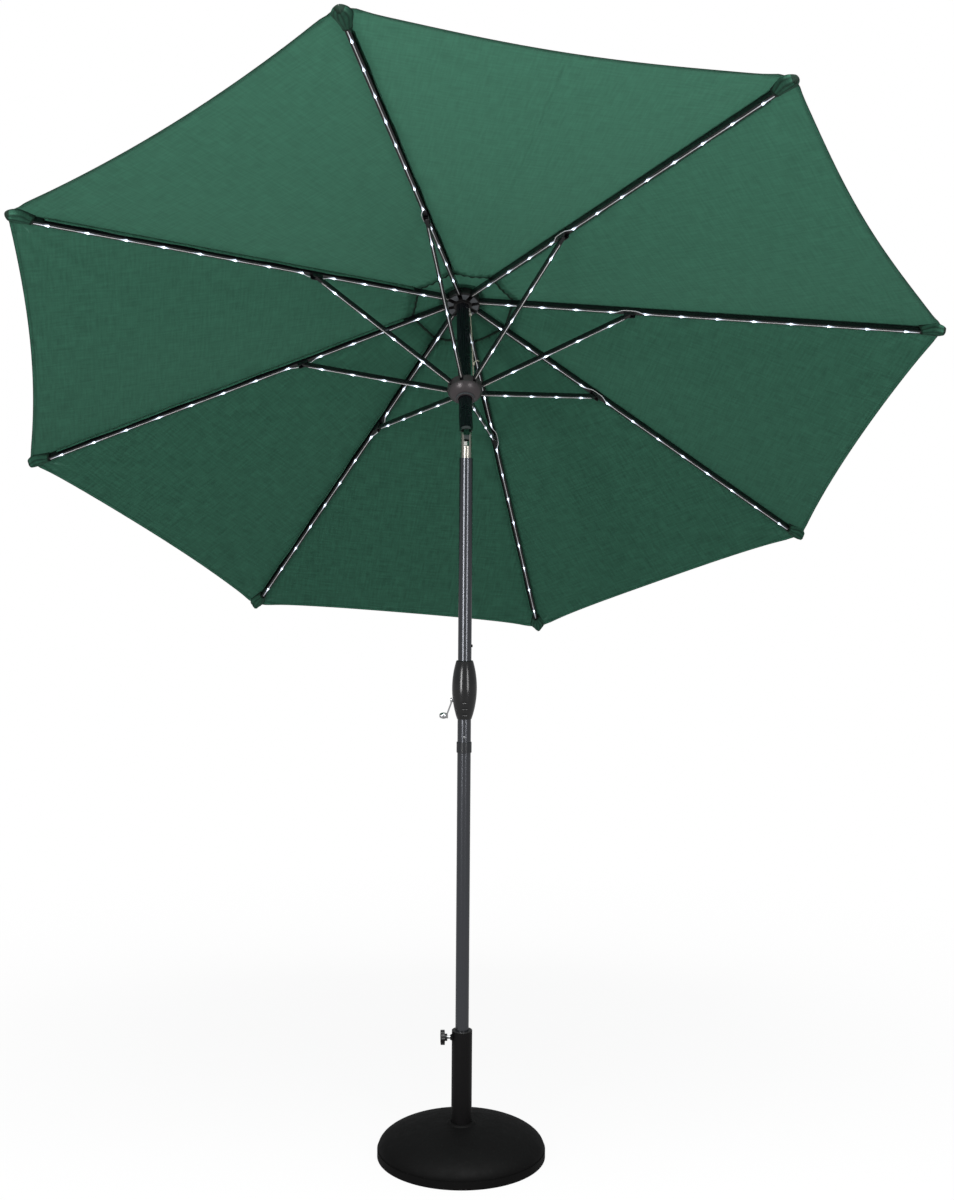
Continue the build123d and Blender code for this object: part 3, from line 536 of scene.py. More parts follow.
@dataclass(frozen=True)
class WovenCloth(Finish):
    """Plain-woven polyester that lets some daylight through, with a hem and twin-needle seams.

    Attributes:
        thread_mm: Spacing of the threads as drawn.
        through: Share of light that passes through the cloth.
        glow: Colour of the light that passes.
        stitch: Colour of the sewing thread.
        edging_and_shade_tint: Dark colour on the hem round the opening, as painted shadow of the
            gap under the vent cap over that hem, and as painted shade on the pockets, deepest in
            their folds.
        hem_mm: Distance of the stitching from the cloth's edge.
        stitch_mm: Length of one stitch and its gap.
        thread_half: Half the width of the sewing thread as drawn, in metres.
    """

    thread_mm: float = 3.0
    through: float = 0.42
    glow: str = "#90baaa"
    stitch: str = "#1b3a2c"
    edging_and_shade_tint: str = "#16281f"
    hem_mm: float = 9.0
    stitch_mm: float = 6.0
    thread_half: float = 0.0009

    def place(self, tree: Tree) -> Socket:
        """Gives the cloth's own coordinates: metres along its weft and warp."""
        return add_node(tree, "UVMap", uv_map="cloth").outputs[0]

    def stitches(self, tree: Tree) -> Socket:
        """Gives 1 on the sewing thread and 0 elsewhere.

        Args:
            tree: The material's node tree.

        Returns:
            The mask.
        """
        edge = add_node(tree, "Attribute", attribute_name="hem").outputs["Fac"]
        run = add_node(tree, "Attribute", attribute_name="run").outputs["Fac"]
        away = add_node(
            tree, "Math", operation="COMPARE", inputs={1: self.hem_mm / 1000, 2: self.thread_half},
            links={0: edge},
        )
        phase = add_node(
            tree, "Math", operation="PINGPONG", inputs={1: self.stitch_mm / 2000}, links={0: run},
        )
        dash = add_node(
            tree, "Math", operation="LESS_THAN", inputs={1: self.stitch_mm / 2000 * 0.72},
            links={0: phase.outputs[0]},
        )
        return add_node(
            tree, "Math", operation="MULTIPLY", links={0: away.outputs[0], 1: dash.outputs[0]},
        ).outputs[0]

    def tone(self, tree: Tree, where: Socket) -> Socket:
        """Gives the dyed yarn's colour, uneven from thread to thread, with its stitching, and
        painted shade round the opening and on the pockets.

        Args:
            tree: The material's node tree.
            where: The coordinates that place() gives.

        Returns:
            The colour.
        """
        dye = super().tone(tree, where)
        # single threads take the dye differently, which shows as short streaks both ways
        streaks = [
            add_node(
                tree, "TexNoise", inputs={"Scale": 1.0, "Detail": 2.0},
                links={
                    "Vector": add_node(
                        tree, "Mapping", inputs={"Scale": (per_metre(u), per_metre(v), 1.0)},
                        links={"Vector": where},
                    ).outputs[0]
                },
            ).outputs[0]
            for u, v in ((6.0, 60.0), (60.0, 6.0))
        ]
        yarn = add_node(tree, "Math", operation="ADD", links={0: streaks[0], 1: streaks[1]})
        level = add_node(
            tree, "MapRange",
            inputs={"From Min": 0.7, "From Max": 1.3, "To Min": 0.68, "To Max": 1.32},
            links={"Value": yarn.outputs[0]},
        )
        shade = add_node(
            tree, "VectorMath", operation="SCALE", links={0: dye, "Scale": level.outputs[0]}
        )
        # painted shade: the hem round the opening darkens for the shadow of the gap under the vent
        # cap, and the pockets darken for their shade and folds
        bound = add_node(tree, "Attribute", attribute_name="bound").outputs["Fac"]
        bound_shade = add_node(
            tree, "Mix", data_type="RGBA", inputs={7: linear(self.edging_and_shade_tint)},
            links={0: bound, 6: shade.outputs[0]},
        ).outputs[2]
        return add_node(
            tree, "Mix", data_type="RGBA", inputs={7: linear(self.stitch)},
            links={0: self.stitches(tree), 6: bound_shade},
        ).outputs[2]

    def height(self, tree: Tree, where: Socket) -> Socket:
        """Gives the weave's over-and-under relief, and the thread standing on it.

        Args:
            tree: The material's node tree.
            where: The coordinates that place() gives.

        Returns:
            The height.
        """
        # a band texture at scale 1 repeats every 0.314 units
        bands = [
            add_node(
                tree, "TexWave", bands_direction=direction,
                inputs={"Scale": 0.31416 * per_metre(self.thread_mm), "Distortion": 0.6},
                links={"Vector": where},
            ).outputs["Fac"]
            for direction in ("X", "Y")
        ]
        weave = add_node(tree, "Math", operation="MULTIPLY", links={0: bands[0], 1: bands[1]})
        return add_node(
            tree, "Math", operation="ADD", links={0: weave.outputs[0], 1: self.stitches(tree)},
        ).outputs[0]

    def shader(self, tree: Tree) -> Node:
        """Mixes the cloth's face with the light that comes through it.

        Args:
            tree: The material's node tree.

        Returns:
            The shader node.
        """
        face = super().shader(tree)
        face.inputs["Sheen Weight"].default_value = 0.05
        face.inputs["Sheen Roughness"].default_value = 0.5
        behind = add_node(tree, "BsdfTranslucent", inputs={"Color": linear(self.glow)})
        # hems, seams and pockets are several cloths thick and let little through
        doubled = add_node(tree, "Attribute", attribute_name="layers").outputs["Fac"]
        share = add_node(
            tree, "MapRange", inputs={"To Min": self.through, "To Max": self.through * 0.3},
            links={"Value": doubled},
        )
        return add_node(
            tree, "MixShader",
            links={0: share.outputs[0], 1: face.outputs[0], 2: behind.outputs[0]},
        )


@dataclass(frozen=True)
class BraidedCord(Finish):
    """Braided polyester cord: strands cross at a slant all round it.

    Attributes:
        strand_mm: Spacing of the strands along the cord.
    """

    strand_mm: float = 3.2

    def place(self, tree: Tree) -> Socket:
        """Gives coordinates round and along the cord, in metres."""
        return add_node(tree, "UVMap", uv_map="cloth").outputs[0]

    def height(self, tree: Tree, where: Socket) -> Socket:
        """Gives two families of slanting strands.

        Args:
            tree: The material's node tree.
            where: The coordinates that place() gives.

        Returns:
            The height.
        """
        slants = [
            add_node(
                tree, "TexWave", bands_direction="DIAGONAL",
                inputs={"Scale": 0.31416 * per_metre(self.strand_mm)},
                links={
                    "Vector": add_node(
                        tree, "Mapping", inputs={"Scale": (hand, 1.0, 0.0)},
                        links={"Vector": where},
                    ).outputs[0]
                },
            ).outputs["Fac"]
            for hand in (-1.0, 1.0)
        ]
        return add_node(
            tree, "Math", operation="MAXIMUM", links={0: slants[0], 1: slants[1]}
        ).outputs[0]


@dataclass(frozen=True)
class LitPlastic(Finish):
    """Clear moulded plastic lit from inside at each lamp, with a painted glow fading from the lamps
    along the wire, which gives no light.

    Attributes:
        light: Colour of the light.
        strength: Emission where the glow attribute is 1.
    """

    light: str = "#dcebff"
    strength: float = 3.5

    def shader(self, tree: Tree) -> Node:
        """Adds the light to the plastic.

        Args:
            tree: The material's node tree.

        Returns:
            The shader node.
        """
        plastic = super().shader(tree)
        glow = add_node(tree, "Attribute", attribute_name="glow").outputs["Fac"]
        power = add_node(
            tree, "Math", operation="MULTIPLY", inputs={1: self.strength}, links={0: glow}
        )
        plastic.inputs["Emission Color"].default_value = linear(self.light)
        tree.links.new(power.outputs[0], plastic.inputs["Emission Strength"])
        return plastic


@dataclass(frozen=True)
class SolarGlass(Finish):
    """Dark silicon cells under glass, with printed silver lines between and across them.

    Attributes:
        cell_mm: Width of a cell.
        line: Colour of the printed lines.
    """

    cell_mm: float = 26.0
    line: str = "#8d959d"

    def place(self, tree: Tree) -> Socket:
        """Gives coordinates turned level with the leaning cell.

        Args:
            tree: The material's node tree.

        Returns:
            The coordinates.
        """
        where = add_node(tree, "TexCoord").outputs["Object"]
        return add_node(
            tree, "Mapping", vector_type="TEXTURE", inputs={"Rotation": (-TILT, 0, 0)},
            links={"Vector": where},
        ).outputs[0]

    def tone(self, tree: Tree, where: Socket) -> Socket:
        """Gives the cells' colour and their lines.

        Args:
            tree: The material's node tree.
            where: The coordinates that place() gives.

        Returns:
            The colour.
        """
        cell = super().tone(tree, where)
        grid = add_node(
            tree, "TexBrick", offset=0.0, squash=1.0,
            inputs={
                "Color1": (0, 0, 0, 1), "Color2": (0, 0, 0, 1), "Mortar": (1, 1, 1, 1),
                "Scale": 1.0, "Mortar Size": 0.0006, "Brick Width": self.cell_mm / 1000,
                "Row Height": self.cell_mm / 3000,
            },
            links={"Vector": where},
        )
        return add_node(
            tree, "Mix", data_type="RGBA", inputs={7: linear(self.line)},
            links={0: grid.outputs["Color"], 6: cell},
        ).outputs[2]


FINISHES: dict[Slot, Finish] = {
    # cast in a mould: a dead, sandy black that only shows its grain in raking light
    Slot.BASE_STONE: CastStone(
        "cast resin stone", "#080808", 0.66, ior=1.52, shine=0.12, grain_mm=1.6, depth_mm=0.35,
        patch=0.25,
    ),
    # powder coat: soft sheen with an orange-peel ripple
    Slot.BLACK_STEEL: Finish(
        "powder-coated steel", "#0a090a", 0.46, shine=0.22, grain_mm=2.2, depth_mm=0.03, patch=0.12
    ),
    # stoved metallic lacquer on drawn tube: dark grey with narrow bright reflections
    Slot.GREY_POLE: Finish(
        "lacquered steel tube", "#5c5e63", 0.23, metallic=0.9, coat=0.2, coat_roughness=0.10,
        grain_mm=4.0, depth_mm=0.0004, patch=0.06, gloss_swing=0.03, stretch=(1.0, 1.0, 0.06),
    ),
    # moulded sleeve painted to match, a shade flatter
    Slot.POLE_COLLAR: Finish(
        "painted moulded collar", "#232529", 0.34, coat=0.3, coat_roughness=0.2, depth_mm=0.006
    ),
    # blue-black enamel in the flutes
    Slot.FLUTED_POLE: Finish(
        "enamelled fluted tube", "#0b0d14", 0.3, coat=0.3, grain_mm=2.0, depth_mm=0.0008
    ),
    # enamelled box tube
    Slot.RIB_STEEL: Finish(
        "enamelled box tube", "#0e0f12", 0.33, coat=0.3, grain_mm=2.0, depth_mm=0.005
    ),
    # glass-filled nylon out of a spark-eroded mould: greyish bronze, satin
    Slot.BRONZE_PLASTIC: Finish(
        "moulded bronze nylon", "#575153", 0.34, metallic=0.35, grain_mm=0.9, depth_mm=0.01
    ),
    # ABS from a polished mould: near black with wet-looking reflections
    Slot.GLOSS_PLASTIC: Finish(
        "polished ABS", "#161617", 0.22, coat=0.5, coat_roughness=0.12, depth_mm=0.0003
    ),
    # nylon from a grained mould
    Slot.BLACK_PLASTIC: Finish("grained black nylon", "#19191a", 0.46, depth_mm=0.03),
    Slot.WHITE_PLASTIC: Finish("moulded white nylon", "#e3e2dc", 0.35, patch=0.03),
    # bare rubber: no shine, faint bloom
    Slot.RUBBER: Finish("moulded rubber", "#131313", 0.72, ior=1.52, depth_mm=0.04),
    # plated over polished steel
    Slot.CHROME: Finish(
        "bright chrome plate", "#d9dadc", 0.08, metallic=1.0, depth_mm=0.001, gloss_swing=0.03
    ),
    # plated over brushed zinc alloy
    Slot.NICKEL: Finish(
        "satin nickel plate", "#c3bfb4", 0.28, metallic=1.0, grain_mm=0.8, depth_mm=0.004,
        stretch=(1.0, 1.0, 0.1),
    ),
    Slot.DARK_NICKEL: Finish(
        "black nickel plate", "#6f7876", 0.18, metallic=1.0, depth_mm=0.002, gloss_swing=0.04
    ),
    Slot.ZINC: Finish(
        "zinc-plated steel", "#b9babb", 0.32, metallic=1.0, patch_mm=12.0, patch=0.12
    ),
    # polyester braid, cream with handling
    Slot.CORD: BraidedCord("braided polyester cord", "#d8d3bd", 0.85, depth_mm=0.25, patch=0.06),
    # plain weave: threads are really 0.5 mm apart, drawn at 3 mm so that they show
    Slot.CANOPY_CLOTH: WovenCloth(
        "woven polyester canopy cloth", "#3c705b", 0.86, ior=1.45, shine=0.2, depth_mm=0.15,
        patch_mm=90.0, patch=0.08, gloss_swing=0.04,
    ),
    # glass over silicon
    Slot.SOLAR_GLASS: SolarGlass(
        "glazed silicon cells", "#0e1528", 0.14, coat=1.0, coat_roughness=0.03, depth_mm=0.0
    ),
}

LAMP = LitPlastic("clear lamp plastic", "#d2cdca", 0.3, grain_mm=1.0, depth_mm=0.01, patch=0.05)
WEDGE_GREY = Finish("moulded grey nylon", "#5c5f63", 0.4, depth_mm=0.02)
HUB_NYLON = Finish("black moulded nylon hub", "#1e1c1d", 0.38, depth_mm=0.02)
EYELET_WHITE = Finish("moulded white eyelet", "#efeee8", 0.3, patch=0.02)


# ---------------------------------------------------------------- studio


@dataclass
class Studio:
    """A pale floor, soft lights and the camera.

    Attributes:
        eye: Camera position.
        heading: Direction of view from +X, in degrees.
        pitch: Tilt of the view above the horizon, in degrees.
        roll: Turn of the view about its own axis, in degrees.
        lens: Focal length in millimetres.
        floor_radius: Radius of the floor.
        fill: Light from the surroundings.
        bounce: Light from the floor.
    """

    eye: Point = (-0.2104, -4.1397, 1.7192)
    heading: float = 86.63
    pitch: float = -1.95
    roll: float = 0.43
    lens: float = 44.30
    floor_radius: float = 60.0
    fill: float = 0.30
    bounce: float = 0.36

    def camera(self) -> None:
        """Creates the camera."""
        data = bpy.data.cameras.new("camera")
        data.lens = self.lens
        data.sensor_width = 36.0
        data.clip_end = 200.0
        eye = bpy.data.objects.new("camera", data)
        h, p = math.radians(self.heading), math.radians(self.pitch)
        ahead = Vector((math.cos(h) * math.cos(p), math.sin(h) * math.cos(p), math.sin(p)))
        right = ahead.cross(Vector((0, 0, 1))).normalized()
        up = right.cross(ahead)
        q = math.radians(self.roll)
        side = right * math.cos(q) + up * math.sin(q)
        top = up * math.cos(q) - right * math.sin(q)
        turn = Matrix((side, top, -ahead)).transposed().to_4x4()
        eye.matrix_world = Matrix.Translation(self.eye) @ turn
        bpy.context.scene.collection.objects.link(eye)
        bpy.context.scene.camera = eye

    def lamp(
        self, name: str, place: Point, target: Point, size: tuple[float, float], power: float,
    ) -> None:
        """Adds a softbox.

        Args:
            name: Light's name.
            place: Its position.
            target: Point that it faces.
            size: Its width and height.
            power: Its power in watts.
        """
        data = bpy.data.lights.new(name, "AREA")
        data.shape = "RECTANGLE"
        data.size, data.size_y = size
        data.energy = power
        box = bpy.data.objects.new(name, data)
        box.location = place
        aim = Vector(target) - Vector(place)
        box.rotation_euler = aim.to_track_quat("-Z", "Y").to_euler()
        box.visible_camera = False
        bpy.context.scene.collection.objects.link(box)

    def lights(self) -> None:
        """Adds the softboxes and the pale surroundings."""
        self.lamp("left_softbox", (-2.23, -3.32, 1.75), (0, 0, 1.5), (0.75, 1.9), 46)
        self.lamp("right_softbox", (1.88, -3.53, 1.75), (0, 0, 1.5), (0.70, 1.9), 27)
        self.lamp("overhead", (0.1, -2.5, 6.2), (0, -0.2, 2.3), (3.2, 2.4), 455)
        world = bpy.data.worlds.new("studio")
        tree = fresh_tree(world)
        seen = add_node(tree, "Background", inputs={"Color": (1, 1, 1, 1), "Strength": 1.0})
        fill = add_node(
            tree, "Background", inputs={"Color": (0.95, 0.98, 1, 1), "Strength": self.fill}
        )
        ray = add_node(tree, "LightPath")
        mix = add_node(
            tree, "MixShader",
            links={0: ray.outputs["Is Camera Ray"], 1: fill.outputs[0], 2: seen.outputs[0]},
        )
        add_node(tree, "OutputWorld", links={"Surface": mix.outputs[0]})
        bpy.context.scene.world = world
        bpy.context.scene.view_settings.view_transform = "Standard"

    def floor(self) -> None:
        """Adds the floor, which turns to plain white away from the object."""
        bpy.ops.mesh.primitive_circle_add(
            vertices=96, radius=self.floor_radius, fill_type="NGON", location=(0, 0, -0.0005)
        )
        floor = active_piece("studio_floor")
        bpy.ops.object.select_all(action="DESELECT")
        paint = bpy.data.materials.new("matt white floor paint")
        tree = fresh_tree(paint)
        where = add_node(tree, "TexCoord").outputs["Object"]
        away = add_node(tree, "VectorMath", operation="LENGTH", links={0: where}).outputs["Value"]
        share = add_node(
            tree, "MapRange", interpolation_type="SMOOTHSTEP",
            inputs={"From Min": 0.3, "From Max": 4.0, "To Min": 0.90, "To Max": 1.0},
            links={"Value": away},
        )
        near = add_node(
            tree, "BsdfPrincipled", inputs={"Base Color": (0.86, 0.86, 0.86, 1), "Roughness": 0.8}
        )
        far = add_node(tree, "Emission", inputs={"Color": (1, 1, 1, 1), "Strength": 1.0})
        mix = add_node(
            tree, "MixShader", links={0: share.outputs[0], 1: near.outputs[0], 2: far.outputs[0]},
        )
        # what the object is lit and mirrored by is dimmer than what is seen
        dim = add_node(tree, "Emission", inputs={"Color": (1, 1, 1, 1), "Strength": self.bounce})
        ray = add_node(tree, "LightPath")
        seen = add_node(
            tree, "MixShader",
            links={0: ray.outputs["Is Camera Ray"], 1: dim.outputs[0], 2: mix.outputs[0]},
        )
        add_node(tree, "OutputMaterial", links={"Surface": seen.outputs[0]})
        floor.data.materials.append(paint)

    def build(self) -> None:
        """Sets up the whole studio."""
        self.camera()
        self.lights()
        self.floor()
        log.info("studio: camera, three softboxes, floor")


# ---------------------------------------------------------------- lift cord


@dataclass
class LiftCord:
    """The visible run of the lift cord, from the pulley's slot down to the runner.

    Attributes:
        route: Its course in the leaning frame.
        length: Its length; not used.
        radius: Half its thickness.
        sides: Facets round it.
        tail: Course of the end that stands out of the knot.
        knot_foot: Middle of the knot's lower end.
        knot_radius: Radius that its strand winds at.
        knot_rise: Height of the knot.
        eyelet_place: Middle of the eyelet.
    """

    route: tuple[Point, ...] = ((0.0213, 0.0, 0.468), (0.027, -0.003, 0.262), (0.024, 0.0, 0.1843))
    length: float = 0.284
    radius: float = 0.0015
    sides: int = 12
    tail: tuple[Point, ...] = (
        (0.0268, -0.0024, 0.2655), (0.0315, -0.0050, 0.2700), (0.0350, -0.0045, 0.2735),
        (0.0395, -0.0060, 0.2725), (0.0425, -0.0065, 0.2695),
    )
    knot_foot: Point = (0.027, -0.003, 0.2598)
    knot_radius: float = 0.0021
    knot_rise: float = 0.0062
    eyelet_place: Point = (0.0215, 0.0, 0.4535)

    def course(self, name: str, points: tuple[Point, ...]) -> list[Vector]:
        """Reads the smooth line through a route from its NURBS spline.

        Args:
            name: Name of the helper curve.
            points: Route in the leaning frame.

        Returns:
            Points along the line, in the row frame.
        """
        line = smooth_line(name, [LEAN @ Vector(point) for point in points], 40)
        course = [vertex.co.copy() for vertex in line.vertices]
        bpy.data.meshes.remove(line)
        return course

    def tube(self, name: str, course: list[Vector], radius: float) -> Piece:
        """Makes a closed tube along a course, with its length and girth as its UV map.

        Args:
            name: Piece name.
            course: Points along its centre line, in the row frame.
            radius: Half its thickness.

        Returns:
            The tube.
        """
        points: list[Vector] = []
        faces: list[tuple[int, ...]] = []
        reach = [0.0]
        ahead = (course[1] - course[0]).normalized()
        side = ahead.orthogonal().normalized()
        for index, centre in enumerate(course):
            nearest = course[min(index + 1, len(course) - 1)] - course[max(index - 1, 0)]
            ahead = nearest.normalized()
            side = (side - ahead * side.dot(ahead)).normalized()
            over = ahead.cross(side)
            if index:
                reach.append(reach[-1] + (centre - course[index - 1]).length)
            for step in range(self.sides):
                turn = 2 * math.pi * step / self.sides
                points.append(centre + (side * math.cos(turn) + over * math.sin(turn)) * radius)
        count = self.sides
        for ring in range(len(course) - 1):
            for step in range(count):
                a, b = ring * count + step, ring * count + (step + 1) % count
                faces.append((a, b, b + count, a + count))
        faces.append(tuple(reversed(range(count))))
        faces.append(tuple(range(len(points) - count, len(points))))
        piece = new_piece(name, points, faces, Matrix.Identity(4))
        layer = piece.data.uv_layers.new(name="cloth")
        girth = 2 * math.pi * radius
        for index, polygon in enumerate(piece.data.polygons):
            step = index % count
            for corner, loop in enumerate(polygon.loop_indices):
                ring = piece.data.loops[loop].vertex_index // count
                around = step + (1 if corner in (1, 2) else 0)
                layer.data[loop].uv = (girth * around / count, reach[ring])
        return piece

    def knot(self, material: Material) -> Piece:
        """Makes the overhand knot: one strand wound twice round the cord.

        Args:
            material: The cord's finish.

        Returns:
            The knot.
        """
        x, y, z = self.knot_foot
        around = tuple(
            (
                x + self.knot_radius * math.cos(turn), y + self.knot_radius * math.sin(turn),
                z + self.knot_rise * turn / (4 * math.pi),
            )
            for turn in (math.pi * step / 4 for step in range(17))
        )
        knot = self.tube("lift_cord_knot", self.course("knot_line", around), self.radius)
        dress(knot, material)
        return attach(knot, "runner")

    def build(self, materials: Materials) -> None:
        """Makes the cord, its knot, tail and eyelet.

        Args:
            materials: Material of each slot.
        """
        material = materials[Slot.CORD]
        course = self.course("cord_line", self.route)
        cord = self.tube("lift_cord_run", course, self.radius)
        dress(cord, material)
        knot = self.knot(material)
        tail = self.tube("lift_cord_tail", self.course("tail_line", self.tail), self.radius * 0.8)
        dress(tail, material)
        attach(tail, "runner")
        eyelet = self.eyelet()
        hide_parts("lift_cord")
        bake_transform(cord)
        log.info("lift cord: run, %s, %s, %s", knot.name, tail.name, eyelet.name)

    def eyelet(self) -> Piece:
        """Makes the white eyelet that lines the cord's way out of the pole.

        Returns:
            The eyelet.
        """
        bpy.ops.mesh.primitive_torus_add(
            major_segments=24, minor_segments=8, major_radius=0.0036, minor_radius=0.0015,
            location=self.eyelet_place,
        )
        eyelet = active_piece("cord_eyelet")
        bpy.ops.object.mode_set(mode="EDIT")
        bpy.ops.transform.resize(value=(1.0, 1.0, 1.8))
        bpy.ops.object.mode_set(mode="OBJECT")
        finish_piece(eyelet)
        dress(eyelet, EYELET_WHITE.material())
        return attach(eyelet, "top_mast")


# ---------------------------------------------------------------- canopy


class ClothPoint(NamedTuple):
    """One point of a cloth's outer face.

    Attributes:
        place: Its place in the leaning frame.
        inward: Unit normal towards the underside.
        depth: The cloth's thickness there.
        uv: Cloth coordinates.
        hem: Distance from the nearest hemmed edge.
        run: Distance along that edge.
        bound: Whether the dark edging covers it: painted shadow of the gap under the vent cap along
            the hem round the opening, and a dark line at the outer edge.
    """

    place: Vector
    inward: Vector
    depth: float
    uv: tuple[float, float]
    hem: float
    run: float
    bound: bool = False


@dataclass
class ClothShell:
    """A thin closed shell of cloth, built from a grid of outer points and their thickness.

    Attributes:
        name: Piece name.
        rows: Number of points down each column.
        points: The points, column by column.
    """

    name: str
    rows: int
    points: list[ClothPoint] = field(default_factory=list)

    def build(self, closed: bool = False, creases: tuple[int, ...] = ()) -> Piece:
        """Makes the shell.

        Args:
            closed: Whether the last column joins the first.
            creases: Columns along which the cloth is folded sharply.

        Returns:
            The cloth.
        """
        total, rows = len(self.points), self.rows
        columns = total // rows
        outer = [point.place for point in self.points]
        under = [point.place + point.inward * point.depth for point in self.points]
        faces: list[tuple[int, ...]] = []
        last = columns if closed else columns - 1
        for c in range(last):
            d = (c + 1) % columns
            for r in range(rows - 1):
                a, b = c * rows + r, d * rows + r
                faces.append((a, a + 1, b + 1, b))
                faces.append((total + a, total + b, total + b + 1, total + a + 1))
            top, bottom = c * rows, c * rows + rows - 1
            next_top, next_bottom = d * rows, d * rows + rows - 1
            faces.append((top, next_top, total + next_top, total + top))
            faces.append((bottom, total + bottom, total + next_bottom, next_bottom))
        if not closed:
            for column, turn in ((0, False), (columns - 1, True)):
                for r in range(rows - 1):
                    a = column * rows + r
                    side = (a, total + a, total + a + 1, a + 1)
                    faces.append(tuple(reversed(side)) if turn else side)
        piece = new_piece(self.name, outer + under, faces)
        mesh = piece.data
        layer = mesh.uv_layers.new(name="cloth")
        for polygon in mesh.polygons:
            first = min(mesh.loops[i].vertex_index % total // rows for i in polygon.loop_indices)
            for index in polygon.loop_indices:
                point = mesh.loops[index].vertex_index % total
                across, along = self.points[point].uv
                # on the rib the cloth belongs to both gores, each with its own weft
                if not closed and point // rows in creases and first < point // rows:
                    across = -across
                layer.data[index].uv = (across, along)
        single = min(point.depth for point in self.points)
        both = self.points * 2
        named = {
            "hem": [point.hem for point in both], "run": [point.run for point in both],
            "layers": [float(point.depth > single * 1.2) for point in both],
            "bound": [float(point.bound) for point in both],
        }
        set_values(mesh, named)
        sharp = mesh.attributes.new("sharp_edge", "BOOLEAN", "EDGE")
        flags = [False] * len(mesh.edges)
        for edge in mesh.edges:
            a, b = edge.vertices
            same_layer = (a < total) == (b < total)
            column_a, column_b = a % total // rows, b % total // rows
            row_a, row_b = a % rows, b % rows
            folds = creases if closed else (0, columns - 1, *creases)
            on_crease = column_a == column_b and column_a in folds and same_layer
            on_rim = row_a == row_b and row_a in (0, rows - 1)
            flags[edge.index] = on_crease or on_rim or not same_layer
        sharp.data.foreach_set("value", flags)
        return piece


